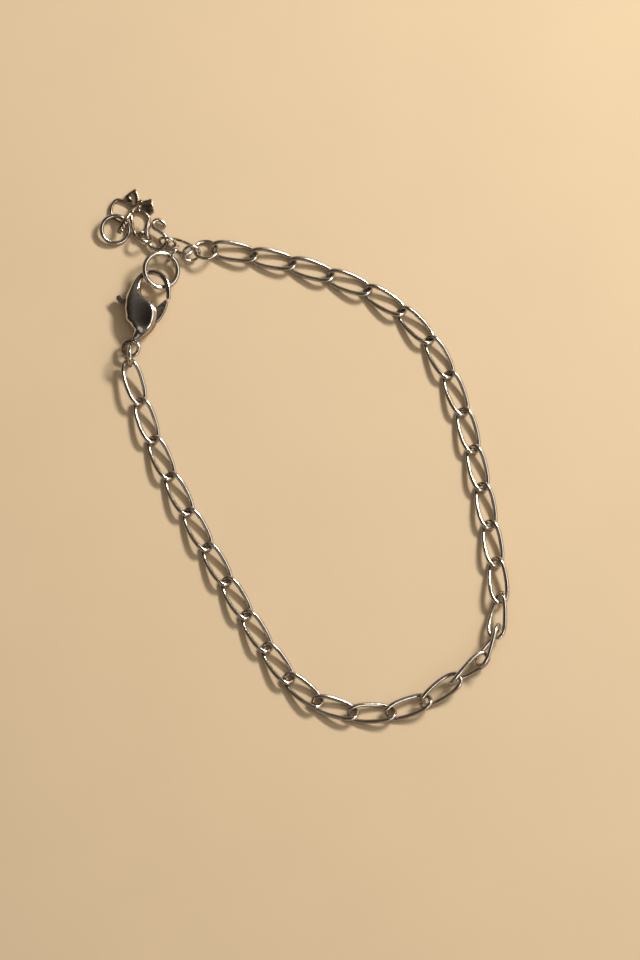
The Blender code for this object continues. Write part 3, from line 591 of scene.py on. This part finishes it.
def metal(name, tint, stain_and_shade_brown, roughness, scratch=1.0, grain=0.0):
    """Worn metal: fine scratches, uneven polish, brown stains in random patches, and brown painted shade in
    recesses, where pieces touch and on undersides.
    """
    material = bpy.data.materials.new(name)
    material.use_nodes = True
    work = NodeWork(material.node_tree)
    shader = material.node_tree.nodes["Principled BSDF"]
    shader.inputs["Metallic"].default_value = 1.0
    place = work.add("ShaderNodeTexCoord").outputs["Object"]

    def noise(scale, detail, stretch=(1.0, 1.0, 1.0), turn=(0.0, 0.0, 0.0)):
        mapping = work.add("ShaderNodeMapping", {"Vector": place, "Rotation": turn, "Scale": stretch})
        texture = work.add("ShaderNodeTexNoise", {"Vector": mapping.outputs["Vector"], "Scale": scale,
                                                  "Detail": detail})
        return texture.outputs["Fac"]

    def ranged(value, low, high, to_low, to_high):
        node = work.add("ShaderNodeMapRange", {"Value": value, "From Min": low, "From Max": high,
                                               "To Min": to_low, "To Max": to_high})
        return node.outputs["Result"]

    cloud = noise(420.0, 4.0)
    specks = noise(2600.0, 3.0, turn=(0.4, 0.2, 0.9))
    lines = []
    for turn in ((0.2, 0.3, 0.5), (1.1, 0.5, 1.7), (0.6, 1.3, 2.9)):
        lines.append(ranged(noise(900.0, 2.0, (0.12, 9.0, 9.0), turn), 0.60, 0.68, 0.0, 1.0))
    scratches = work.sum("MAXIMUM", lines[0], work.sum("MAXIMUM", lines[1], lines[2]))
    # Painted shade: brown from the point attribute that marks recesses, touching pieces and undersides,
    # made uneven by the cloud
    shelter = work.add("ShaderNodeAttribute", attribute_name="shelter").outputs["Fac"]
    painted_shade_amount = work.sum("MULTIPLY", shelter, ranged(cloud, 0.3, 0.7, 0.75, 1.25))
    # Real stains in random patches
    stained = work.sum("MULTIPLY", ranged(cloud, 0.52, 0.72, 0.0, 1.0), STAIN_FILM)
    stain_and_shade_amount = work.sum("MINIMUM", work.sum("ADD", painted_shade_amount, stained), MOST_STAIN_AND_SHADE)
    dulled = tuple(0.86 * value for value in tint)
    clean = work.add("ShaderNodeMix", {"Factor": ranged(specks, 0.35, 0.65, 0.0, 1.0)},
                     data_type="RGBA")
    work.feed(clean.inputs[6], (*tint, 1.0))
    work.feed(clean.inputs[7], (*dulled, 1.0))
    # Metal colour mixed towards brown by the painted shade and the real stains
    stained_and_shaded = work.add("ShaderNodeMix", {"Factor": stain_and_shade_amount}, data_type="RGBA")
    work.feed(stained_and_shaded.inputs[6], clean.outputs[2])
    work.feed(stained_and_shaded.inputs[7], (*stain_and_shade_brown, 1.0))
    work.feed(shader.inputs["Base Color"], stained_and_shaded.outputs[2])
    polish = ranged(specks, 0.3, 0.7, roughness * 0.7, roughness * 1.4)
    rubbed = work.sum("ADD", polish, work.sum("MULTIPLY", scratches, 0.12 * scratch))
    work.feed(shader.inputs["Roughness"], work.sum("ADD", rubbed, work.sum("MULTIPLY", stain_and_shade_amount, 0.3)))
    height = work.sum("SUBTRACT", work.sum("MULTIPLY", noise(1500.0, 3.0), 0.5),
                      work.sum("MULTIPLY", scratches, 0.6 * scratch))
    if grain:
        height = work.sum("ADD", height, work.sum("MULTIPLY", noise(500.0, 2.0, (22.0, 1.0, 1.0)), grain))
    bump = work.add("ShaderNodeBump", {"Height": height, "Strength": 0.12, "Distance": 0.01 * MM})
    work.feed(shader.inputs["Normal"], bump.outputs["Normal"])
    return material


def smooth_path(points, steps, closed=False):
    """Points on a smooth curve through the given ones, with some steps in each span."""
    count = len(points)
    path = []
    for span in range(count if closed else count - 1):
        if closed:
            near = [points[(span + k) % count] for k in (-1, 0, 1, 2)]
        else:
            near = [points[min(max(span + k, 0), count - 1)] for k in (-1, 0, 1, 2)]
        a, b, c, d = (Vector(point) for point in near)
        for step in range(steps):
            t = step / steps
            path.append(0.5 * (2 * b + (c - a) * t + (2 * a - 5 * b + 4 * c - d) * t * t
                               + (3 * b - a - 3 * c + d) * t * t * t))
    if not closed:
        path.append(Vector(points[-1]))
    return path


def mesh_from(work, name, sharp_angle=None):
    """Mesh of bmesh work, with outward faces, shaded smooth and sharp at its corners."""
    bmesh.ops.recalc_face_normals(work, faces=work.faces)
    mesh = bpy.data.meshes.new(name)
    work.to_mesh(mesh)
    work.free()
    mesh.shade_smooth()
    if sharp_angle is not None:
        mesh.set_sharp_from_angle(angle=math.radians(sharp_angle))
    return mesh


def combined(mesh, tools):
    """Mesh after joining or cutting with other meshes, each with its operation."""
    body = bpy.data.objects.new("work", mesh)
    bpy.context.scene.collection.objects.link(body)
    helpers = []
    for operation, tool_mesh in tools:
        helper = bpy.data.objects.new("tool", tool_mesh)
        bpy.context.scene.collection.objects.link(helper)
        modifier = body.modifiers.new("cut", "BOOLEAN")
        modifier.operation = operation
        modifier.solver = "EXACT"
        modifier.object = helper
        helpers.append(helper)
    bpy.context.view_layer.update()
    graph = bpy.context.evaluated_depsgraph_get()
    result = bpy.data.meshes.new_from_object(body.evaluated_get(graph))
    for obj in [body] + helpers:
        bpy.data.objects.remove(obj)
    work = bmesh.new()
    work.from_mesh(result)
    bmesh.ops.remove_doubles(work, verts=work.verts, dist=1e-7)
    bpy.data.meshes.remove(result)
    return mesh_from(work, "combined", CAST_SHARP_FROM)


def is_flat(edge):
    return abs(edge.verts[0].co.z - edge.verts[1].co.z) < FLAT_WITHIN


def round_edges(work, edges, width, **settings):
    bmesh.ops.bevel(work, geom=edges, offset=width, segments=EDGE_SEGMENTS, profile=0.5,
                    affect="EDGES", **settings)


def join_rings(work, rings):
    """Faces from each ring of corners to the next one, and from the last back to the first."""
    for first, second in zip(rings, rings[1:] + rings[:1]):
        for side in range(len(first)):
            following = (side + 1) % len(first)
            work.faces.new((first[side], second[side], second[following], first[following]))


def plate(points, thickness, edge=0.0, base=0.0):
    """Flat plate of an outline, with rounded edges, from its base up."""
    work = bmesh.new()
    ring = [work.verts.new((point[0], point[1], base)) for point in points]
    face = work.faces.new(ring)
    raised = bmesh.ops.extrude_face_region(work, geom=[face])
    tops = [item for item in raised["geom"] if isinstance(item, bmesh.types.BMVert)]
    bmesh.ops.translate(work, verts=tops, vec=(0.0, 0.0, thickness))
    bmesh.ops.recalc_face_normals(work, faces=work.faces)
    if edge:
        rims = [item for item in work.edges
                if is_flat(item) and any(abs(side.normal.z) < 0.5 for side in item.link_faces)]
        round_edges(work, rims, edge, clamp_overlap=True)
    return mesh_from(work, "plate", SHARP_FROM)


def band(middle_line, wide, tall, edge):
    """Upright band along a closed middle line, with its corners kept sharp and its rims rounded."""
    work = bmesh.new()
    count = len(middle_line)
    rings = []
    for index, point in enumerate(middle_line):
        into = (point - middle_line[index - 1]).normalized()
        onward = (middle_line[(index + 1) % count] - point).normalized()
        outward = Vector((into.y + onward.y, -into.x - onward.x)).normalized()
        reach = wide / 2 / max(outward.dot(Vector((into.y, -into.x))), 0.5)
        ring = []
        for way, height in ((-1, 0.0), (1, 0.0), (1, tall), (-1, tall)):
            ring.append(work.verts.new((point.x + outward.x * reach * way,
                                        point.y + outward.y * reach * way, height)))
        rings.append(ring)
    join_rings(work, rings)
    along = [item for item in work.edges if is_flat(item)
             and any(item.verts[0] in ring and item.verts[1] not in ring for ring in rings)]
    round_edges(work, along, edge)
    return mesh_from(work, "band", SHARP_FROM)


def rod(radius, bottom, top, sides=48, edge=0.0):
    """Upright round rod."""
    work = bmesh.new()
    bmesh.ops.create_cone(work, cap_ends=True, segments=sides, radius1=radius, radius2=radius,
                          depth=top - bottom,
                          matrix=Matrix.Translation((0.0, 0.0, (bottom + top) / 2)))
    if edge:
        round_edges(work, [item for item in work.edges if is_flat(item)], edge)
    return mesh_from(work, "rod", SHARP_FROM)


def torus(middle, outside, wire, steps=72, sides=24):
    """Ring of round section lying flat."""
    work = bmesh.new()
    radius = (outside - wire) / 2
    rings = []
    for step in range(steps):
        way = math.tau * step / steps
        out = Vector((math.cos(way), math.sin(way), 0.0))
        ring = []
        for side in range(sides):
            round_angle = math.tau * side / sides
            offset = out * (radius + wire / 2 * math.cos(round_angle))
            ring.append(work.verts.new(Vector(middle) + offset
                                       + Vector((0.0, 0.0, wire / 2 * math.sin(round_angle)))))
        rings.append(ring)
    join_rings(work, rings)
    return mesh_from(work, "torus")


def clasp_frame():
    """Where the clasp lies: the pin's place, its axis up, and the clasp's length along +Y."""
    joint = frame["joints"][0]
    up = Vector(joint["axis"]).normalized()
    ahead = (Vector((0.0, 1.0, 0.0)) - up * up.y).normalized()
    aside = ahead.cross(up)
    return Matrix.Translation(joint["pos_m"]) @ Matrix((aside, ahead, up)).transposed().to_4x4()


def eye_middle(sizes):
    """Middle of the eye, whose wire the clasp's neck ends in."""
    neck_x, neck_y = CLASP_SECTIONS[0][:2]
    radius = (sizes.eye_outside - sizes.eye_wire) / 2
    heading = math.radians(EYE_HEADING)
    return Vector((neck_x * sizes.length - radius * math.cos(heading),
                   neck_y * sizes.length - radius * math.sin(heading), 0.0))


def clasp_loft(sizes, steps=10, sides=64):
    """Body, neck and hook of the clasp in one skin through its sections, ridged towards the throat."""
    rows = [Vector((x * sizes.length, y * sizes.length, wide * sizes.width / 2,
                    thick * sizes.thickness / 2, ridge)) for x, y, wide, thick, ridge in CLASP_SECTIONS]
    path = smooth_path(rows, steps)
    power = 2.0 / sizes.fullness
    work = bmesh.new()
    rings = []
    for index, (x, y, half_wide, half_thick, ridge) in enumerate(path):
        before = path[max(index - 1, 0)]
        after = path[min(index + 1, len(path) - 1)]
        line = Vector((after[0] - before[0], after[1] - before[1], 0.0)).normalized()
        side = Vector((line.y, -line.x, 0.0))
        ring = []
        for corner in range(sides):
            way = math.tau * corner / sides
            out = math.copysign(abs(math.cos(way)) ** power, math.cos(way))
            up = math.copysign(abs(math.sin(way)) ** power, math.sin(way))
            out += ridge * max(up, 0.0) * (1.0 - out * out)
            ring.append(work.verts.new(Vector((x, y, 0.0)) + side * half_wide * out
                                       + Vector((0.0, 0.0, half_thick * up))))
        rings.append(ring)
    for first, second in zip(rings, rings[1:]):
        for corner in range(sides):
            following = (corner + 1) % sides
            work.faces.new((first[corner], first[following], second[following], second[corner]))
    work.faces.new(rings[0])
    work.faces.new(rings[-1])
    return mesh_from(work, "loft")


def lever_outline(sizes):
    reach = {"hub": sizes.hub_radius, "gate": sizes.gate_reach, "tab": sizes.tab_reach}
    points = []
    for arm, part, degrees in LEVER_OUTLINE:
        radius = reach[arm] * part
        way = math.radians(degrees)
        points.append(Vector((radius * math.cos(way), radius * math.sin(way))))
    return points


def outline_radius(points, way):
    """How far an outline reaches from the pin in one direction."""
    ray = Vector((math.cos(way), math.sin(way)))
    farthest = 0.0
    for index, start in enumerate(points):
        edge = points[(index + 1) % len(points)] - start
        cross = ray.x * edge.y - ray.y * edge.x
        if abs(cross) < 1e-15:
            continue
        along = (start.x * edge.y - start.y * edge.x) / cross
        part = (start.x * ray.y - start.y * ray.x) / cross
        if along > 0 and -1e-6 <= part <= 1 + 1e-6:
            farthest = max(farthest, along)
    return farthest


def slot_outline(sizes):
    """Outline of the space that the lever sweeps, with its clearance."""
    outline = lever_outline(sizes)
    swept = LEVER_OPENING + 2 * SLOT_SPARE_TURN
    turns = [-SLOT_SPARE_TURN + swept * step / SLOT_TURNS for step in range(SLOT_TURNS + 1)]
    points = []
    for index in range(SLOT_DIRECTIONS):
        way = math.tau * index / SLOT_DIRECTIONS
        reach = max(outline_radius(outline, way - math.radians(turn)) for turn in turns)
        reach += sizes.play
        points.append(Vector((reach * math.cos(way), reach * math.sin(way))))
    return points


class BRACELET_OT_chain(bpy.types.Operator):
    """Make the curb chain, one twisted link for each link of the frame"""
    bl_idname = "bracelet.chain"
    bl_label = "Curb chain"

    def execute(self, context):
        sizes = context.scene.bracelet.chain
        finish = context.scene.bracelet.finish
        links = sorted(name for name in frame["nodes"] if name.startswith("link_"))
        places, turns = [], []
        for link in links:
            middle, (along, across, _) = lie_of(link)
            places.append(middle)
            turns.append(turn_of(along, across))
        steel = metal("chain_polish", finish.chain, finish.stain_and_shade_brown, 0.13)
        values = {"Length": sizes.link_length, "Width": sizes.link_width, "Wire": sizes.wire,
                  "Twist": sizes.twist, "Squareness": sizes.squareness, "Solder": sizes.solder,
                  "Steps": sizes.steps, "Sides": sizes.sides}
        mesh = formed("chain_links", points_mesh(places, turns), curb_link_tree(), values, steel)
        piece("chain_links", mesh, steel, "bracelet", "chain_steel", *links)
        return {"FINISHED"}


class BRACELET_OT_rings(bpy.types.Operator):
    """Make the jump rings and the long link, each with the cut in its wire"""
    bl_idname = "bracelet.rings"
    bl_label = "Jump rings"

    def execute(self, context):
        sizes = context.scene.bracelet.rings
        finish = context.scene.bracelet.finish
        steel = metal("ring_polish", finish.ring, finish.stain_and_shade_brown, 0.11)
        tree = jump_ring_tree()
        for node, (seam, gap) in RING_CUTS.items():
            outside = getattr(sizes, node + "_outside")
            width = getattr(sizes, node + "_width", outside)
            middle, (_, across, normal) = lie_of(node)
            seam = Vector(seam)
            if outside > width:
                facing = across if across.dot(seam) > 0 else -across
            else:
                facing = (seam - normal * seam.dot(normal)).normalized()
            turn = turn_of(facing, normal.cross(facing))
            values = {"Length": outside, "Width": width, "Cut": gap * MM,
                      "Wire": getattr(sizes, node + "_wire"),
                      "Steps": sizes.steps, "Sides": sizes.sides}
            name = node + "_wire"
            mesh = formed(name, points_mesh([middle], [turn]), tree, values, steel)
            piece(name, mesh, steel, "bracelet", "ring_steel", node)
        return {"FINISHED"}


class BRACELET_OT_clasp_body(bpy.types.Operator):
    """Make the clasp's body, hook and eye in one casting, cut for the lever and its pin"""
    bl_idname = "bracelet.clasp_body"
    bl_label = "Clasp body"

    def execute(self, context):
        sizes = context.scene.bracelet.clasp
        finish = context.scene.bracelet.finish
        slot = plate(slot_outline(sizes), sizes.lever_thickness + 2 * sizes.play,
                     base=-sizes.lever_thickness / 2 - sizes.play)
        bore = rod(sizes.pin / 2 + PIN_PLAY, -sizes.thickness,
                   sizes.thickness / 2 - PIN_SKIN - PIN_PLAY)
        gate = math.radians(GATE_ANGLE)
        trim_way = Vector((math.cos(gate), math.sin(gate), 0.0))
        trim_place = Matrix.Translation(trim_way * (sizes.gate_reach + GATE_GAP - GATE_TRIM / 2))
        trim_size = Matrix.Diagonal((GATE_TRIM, GATE_TRIM, sizes.thickness, 1.0))
        work = bmesh.new()
        bmesh.ops.create_cube(work, size=1.0, matrix=trim_place @ Matrix.Rotation(gate, 4, "Z") @ trim_size)
        tools = [
            ("UNION", torus(eye_middle(sizes), sizes.eye_outside, sizes.eye_wire)),
            ("DIFFERENCE", slot),
            ("DIFFERENCE", bore),
            ("DIFFERENCE", mesh_from(work, "trim")),
        ]
        mesh = combined(clasp_loft(sizes), tools)
        mesh.transform(clasp_frame())
        steel = metal("clasp_polish", finish.clasp, finish.stain_and_shade_brown, 0.09, scratch=0.8)
        piece("clasp_body_cast", mesh, steel, "bracelet", "clasp_steel", "clasp_body")
        return {"FINISHED"}


class BRACELET_OT_clasp_lever(bpy.types.Operator):
    """Make the clasp's lever with its thumb tab, and the pin that it turns on"""
    bl_idname = "bracelet.clasp_lever"
    bl_label = "Clasp lever and pin"

    def execute(self, context):
        sizes = context.scene.bracelet.clasp
        finish = context.scene.bracelet.finish
        outline = smooth_path(lever_outline(sizes), 4, closed=True)
        blank = plate(outline, sizes.lever_thickness, edge=sizes.lever_edge,
                      base=-sizes.lever_thickness / 2)
        hole = rod(sizes.pin / 2 + PIN_PLAY, -sizes.thickness, sizes.thickness)
        mesh = combined(blank, [("DIFFERENCE", hole)])
        mesh.transform(clasp_frame())
        satin = metal("lever_satin", finish.lever, finish.stain_and_shade_brown, 0.2, grain=0.1)
        piece("clasp_lever_plate", mesh, satin, "lever", "lever_steel", "clasp_lever")
        pin = rod(sizes.pin / 2, -sizes.thickness / 2 + PIN_FOOT,
                  sizes.thickness / 2 - PIN_SKIN - 2 * PIN_PLAY, edge=PIN_EDGE)
        pin.transform(clasp_frame())
        steel = metal("pin_polish", finish.clasp, finish.stain_and_shade_brown, 0.16)
        piece("clasp_pin_round", pin, steel, "bracelet", "clasp_steel", "clasp_pin")
        return {"FINISHED"}


def box_middle(mesh):
    places = np.array([vertex.co for vertex in mesh.vertices], float)
    return Vector((places.min(axis=0) + places.max(axis=0)) / 2)


def node_middle(node):
    lowest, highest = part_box(node)
    return (lowest + highest) / 2


def bent_wire(name, route, wire, tree, material):
    values = {"Wire": wire, "Step": WIRE_STEP, "Sides": WIRE_SIDES}
    line = points_mesh([Vector(point) * MM for point in route], joined=True)
    return formed(name, line, tree, values, material)


class BRACELET_OT_s_hook(bpy.types.Operator):
    """Make the bent wire hook that carries the charm"""
    bl_idname = "bracelet.s_hook"
    bl_label = "Bent hook"

    def execute(self, context):
        sizes = context.scene.bracelet.charm
        finish = context.scene.bracelet.finish
        steel = metal("hook_polish", finish.ring, finish.stain_and_shade_brown, 0.12)
        mesh = bent_wire("s_hook", S_HOOK_ROUTE, sizes.hook_wire, bent_wire_tree(), steel)
        mesh.transform(Matrix.Translation(node_middle("s_hook") - box_middle(mesh)))
        piece("s_hook_wire", mesh, steel, "bracelet", "ring_steel", "s_hook")
        return {"FINISHED"}


class BRACELET_OT_charm(bpy.types.Operator):
    """Make the charm: stem, open leaf, loop, two leaf plates and beads in one casting"""
    bl_idname = "bracelet.charm"
    bl_label = "Leaf charm"

    def execute(self, context):
        sizes = context.scene.bracelet.charm
        finish = context.scene.bracelet.finish
        steel = metal("charm_polish", finish.charm, finish.stain_and_shade_brown, 0.15)
        tree = bent_wire_tree()
        parts = []
        for route, wire in ((STEM_ROUTE, sizes.stem_wire), (OPEN_LEAF_ROUTE, sizes.leaf_wire),
                            (LOOP_ROUTE, sizes.leaf_wire)):
            parts.append(bent_wire("wire", route, wire, tree, steel))
        rim = [Vector(point) * MM for point in TOP_LEAF_RIM]
        parts.append(band(rim, sizes.leaf_wire, sizes.leaf_thickness, sizes.leaf_edge))
        outline = [Vector(point) * MM for point in SIDE_LEAF_OUTLINE]
        parts.append(plate(outline, sizes.leaf_thickness, edge=sizes.leaf_edge))
        parts.append(rod(sizes.hub / 2, 0.0, sizes.hub_height, edge=HUB_EDGE))
        places = [Vector(place) * MM for place in BEAD_PLACES]
        beads = points_mesh(places, [(0.0, 0.0, 0.0)] * len(places))
        parts.append(formed("beads", beads, bead_tree(), {"Diameter": sizes.bead}, steel))
        work = bmesh.new()
        for part in parts:
            work.from_mesh(part)
        mesh = mesh_from(work, "charm", SHARP_FROM)
        mesh.transform(Matrix.Translation(node_middle("leaf_charm") - box_middle(mesh)))
        piece("leaf_charm_cast", mesh, steel, "bracelet", "charm_steel", "leaf_charm")
        return {"FINISHED"}


class BRACELET_OT_paint_shade(bpy.types.Operator):
    """Mark where pieces cover each other and where surfaces face down, so that brown painted shade is put
    there in the metal's colour
    """
    bl_idname = "bracelet.wear"
    # The film named here is painted shade
    bl_label = "Film in sheltered places"

    def execute(self, context):
        shown = [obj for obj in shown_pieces() if obj.type == "MESH"]
        places, triangles = [], []
        for obj in shown:
            obj.data.calc_loop_triangles()
            before = len(places)
            places.extend(vertex.co.copy() for vertex in obj.data.vertices)
            triangles.extend(tuple(before + index for index in item.vertices)
                             for item in obj.data.loop_triangles)
        tree = BVHTree.FromPolygons(places, triangles)
        ways = [math.tau * step / SHADE_RAYS for step in range(SHADE_RAYS)]
        spread = [Vector((math.cos(way) * RAY_ASIDE, math.sin(way) * RAY_ASIDE, RAY_AHEAD)) for way in ways]
        spread.append(Vector((0.0, 0.0, 1.0)))
        for obj in shown:
            mesh = obj.data
            sheltered = mesh.attributes.new("shelter", "FLOAT", "POINT")
            for vertex, item in zip(mesh.vertices, sheltered.data):
                normal = vertex.normal
                aside = normal.orthogonal().normalized()
                turn = Matrix((aside, normal.cross(aside), normal)).transposed()
                start = vertex.co + normal * SHADE_RAY_LIFT
                # Painted shade: more where rays meet nearby pieces, and on sides that face down
                hits = sum(tree.ray_cast(start, turn @ way, SHADE_RAY_REACH)[0] is not None for way in spread)
                underside = min(max((UNDERSIDE_FROM - normal.z) / UNDERSIDE_SPAN, 0.0), 1.0)
                item.value = max(hits / len(spread), UNDERSIDE_SHADE * underside)
        return {"FINISHED"}


def area_light(name, place, size_across, size_up, tint, energy, target):
    light = bpy.data.lights.new(name, "AREA")
    light.shape = "ELLIPSE"
    light.size = size_across
    light.size_y = size_up
    light.energy = energy
    light.color = tint
    obj = bpy.data.objects.new(name, light)
    bpy.context.scene.collection.objects.link(obj)
    obj.location = place
    obj.rotation_euler = (target - Vector(place)).to_track_quat("-Z", "Y").to_euler()
    return obj


class BRACELET_OT_stage(bpy.types.Operator):
    """Set the plain pale floor, the soft lights and the camera at the photograph's angle"""
    bl_idname = "bracelet.stage"
    bl_label = "Stage"

    def execute(self, context):
        stage = context.scene.bracelet.stage
        finish = context.scene.bracelet.finish
        lowest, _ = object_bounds()
        target = Vector(stage.target)
        work = bmesh.new()
        bmesh.ops.create_grid(work, x_segments=4, y_segments=4, size=FLOOR_REACH,
                              matrix=Matrix.Translation((0.0, 0.0, lowest.z)))
        mesh = bpy.data.meshes.new("floor")
        work.to_mesh(mesh)
        work.free()
        floor = bpy.data.objects.new("floor", mesh)
        context.scene.collection.objects.link(floor)
        mesh.materials.append(floor_material(finish.floor))
        floor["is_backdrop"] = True
        lights = {name: area_light(name, *row, getattr(stage, name), target)
                  for name, row in LIGHTS.items()}
        lights["overhead"].visible_glossy = False
        lights["rim"].visible_diffuse = False
        world_light()
        camera_data = bpy.data.cameras.new("camera")
        camera_data.sensor_width = 36.0
        camera_data.lens = camera_data.sensor_width * stage.distance / stage.view_height
        camera_data.clip_start = 0.01
        camera = bpy.data.objects.new("camera", camera_data)
        context.scene.collection.objects.link(camera)
        back = Vector((0.0, -math.cos(stage.elevation), math.sin(stage.elevation)))
        camera.location = target + back * stage.distance
        camera.rotation_euler = (-back).to_track_quat("-Z", "Y").to_euler()
        context.scene.camera = camera
        return {"FINISHED"}


def floor_material(tint):
    """Plain pale stone with faint mottling."""
    material = bpy.data.materials.new("pale_stone")
    material.use_nodes = True
    work = NodeWork(material.node_tree)
    shader = material.node_tree.nodes["Principled BSDF"]
    place = work.add("ShaderNodeTexCoord").outputs["Object"]
    cloud = work.add("ShaderNodeTexNoise", {"Vector": place, "Scale": 60.0, "Detail": 6.0})
    blend = work.add("ShaderNodeMix", {"Factor": cloud.outputs["Fac"]}, data_type="RGBA")
    work.feed(blend.inputs[6], (*tint, 1.0))
    work.feed(blend.inputs[7], (*(0.93 * value for value in tint), 1.0))
    work.feed(shader.inputs["Base Color"], blend.outputs[2])
    shader.inputs["Roughness"].default_value = 0.75
    grain = work.add("ShaderNodeTexNoise", {"Vector": place, "Scale": 2500.0, "Detail": 3.0})
    bump = work.add("ShaderNodeBump", {"Height": grain.outputs["Fac"], "Strength": 0.2,
                                       "Distance": 0.03 * MM})
    work.feed(shader.inputs["Normal"], bump.outputs["Normal"])
    return material


def world_light():
    """Warm, mostly dark surroundings for the metal to mirror, stronger towards +X."""
    world = bpy.data.worlds.new("studio")
    bpy.context.scene.world = world
    world.use_nodes = True
    work = NodeWork(world.node_tree)
    background = world.node_tree.nodes["Background"]
    way = work.add("ShaderNodeTexCoord").outputs["Generated"]
    parts = work.add("ShaderNodeSeparateXYZ", {0: way}).outputs
    ramp = work.add("ShaderNodeValToRGB", {"Fac": parts["Z"]})
    stops = ramp.color_ramp.elements
    for index, (position, shade) in enumerate(WORLD_SHADES):
        stop = stops[index] if index < 2 else stops.new(position)
        stop.position, stop.color = position, (*shade, 1.0)
    work.feed(background.inputs["Color"], ramp.outputs["Color"])
    rise = work.sum("MULTIPLY", parts["X"], WORLD_RISE)
    work.feed(background.inputs["Strength"], work.sum("ADD", rise, WORLD_STRENGTH))
    bpy.context.scene.view_settings.view_transform = "Standard"


class BRACELET_PT_sidebar(bpy.types.Panel):
    """List the bracelet's pieces and stage"""
    bl_idname = "BRACELET_PT_sidebar"
    bl_label = "Chain bracelet"
    bl_space_type = "VIEW_3D"
    bl_region_type = "UI"
    bl_category = "Bracelet"

    def draw(self, context):
        for operator in OPERATORS:
            self.layout.operator(operator.bl_idname)


OPERATORS = (
    BRACELET_OT_chain,
    BRACELET_OT_rings,
    BRACELET_OT_clasp_body,
    BRACELET_OT_clasp_lever,
    BRACELET_OT_s_hook,
    BRACELET_OT_charm,
    BRACELET_OT_paint_shade,
    BRACELET_OT_stage,
)
GROUPS = (ChainSizes, RingSizes, ClaspSizes, CharmSizes, FinishColours, StageSizes, BraceletSettings)


def register():
    for item in (*GROUPS, *OPERATORS, BRACELET_PT_sidebar):
        bpy.utils.register_class(item)
    bpy.types.Scene.bracelet = PointerProperty(type=BraceletSettings, name="Bracelet",
                                               description="Settings of the chain bracelet")


def unregister():
    del bpy.types.Scene.bracelet
    for item in reversed((*GROUPS, *OPERATORS, BRACELET_PT_sidebar)):
        bpy.utils.unregister_class(item)


def main():
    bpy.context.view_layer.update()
    register()
    bpy.ops.bracelet.chain()
    bpy.ops.bracelet.rings()
    bpy.ops.bracelet.clasp_body()
    bpy.ops.bracelet.clasp_lever()
    bpy.ops.bracelet.s_hook()
    bpy.ops.bracelet.charm()
    # Painted shade in recesses, where pieces touch and on undersides
    bpy.ops.bracelet.wear()
    bpy.ops.bracelet.stage()


if __name__ == "__main__":
    main()
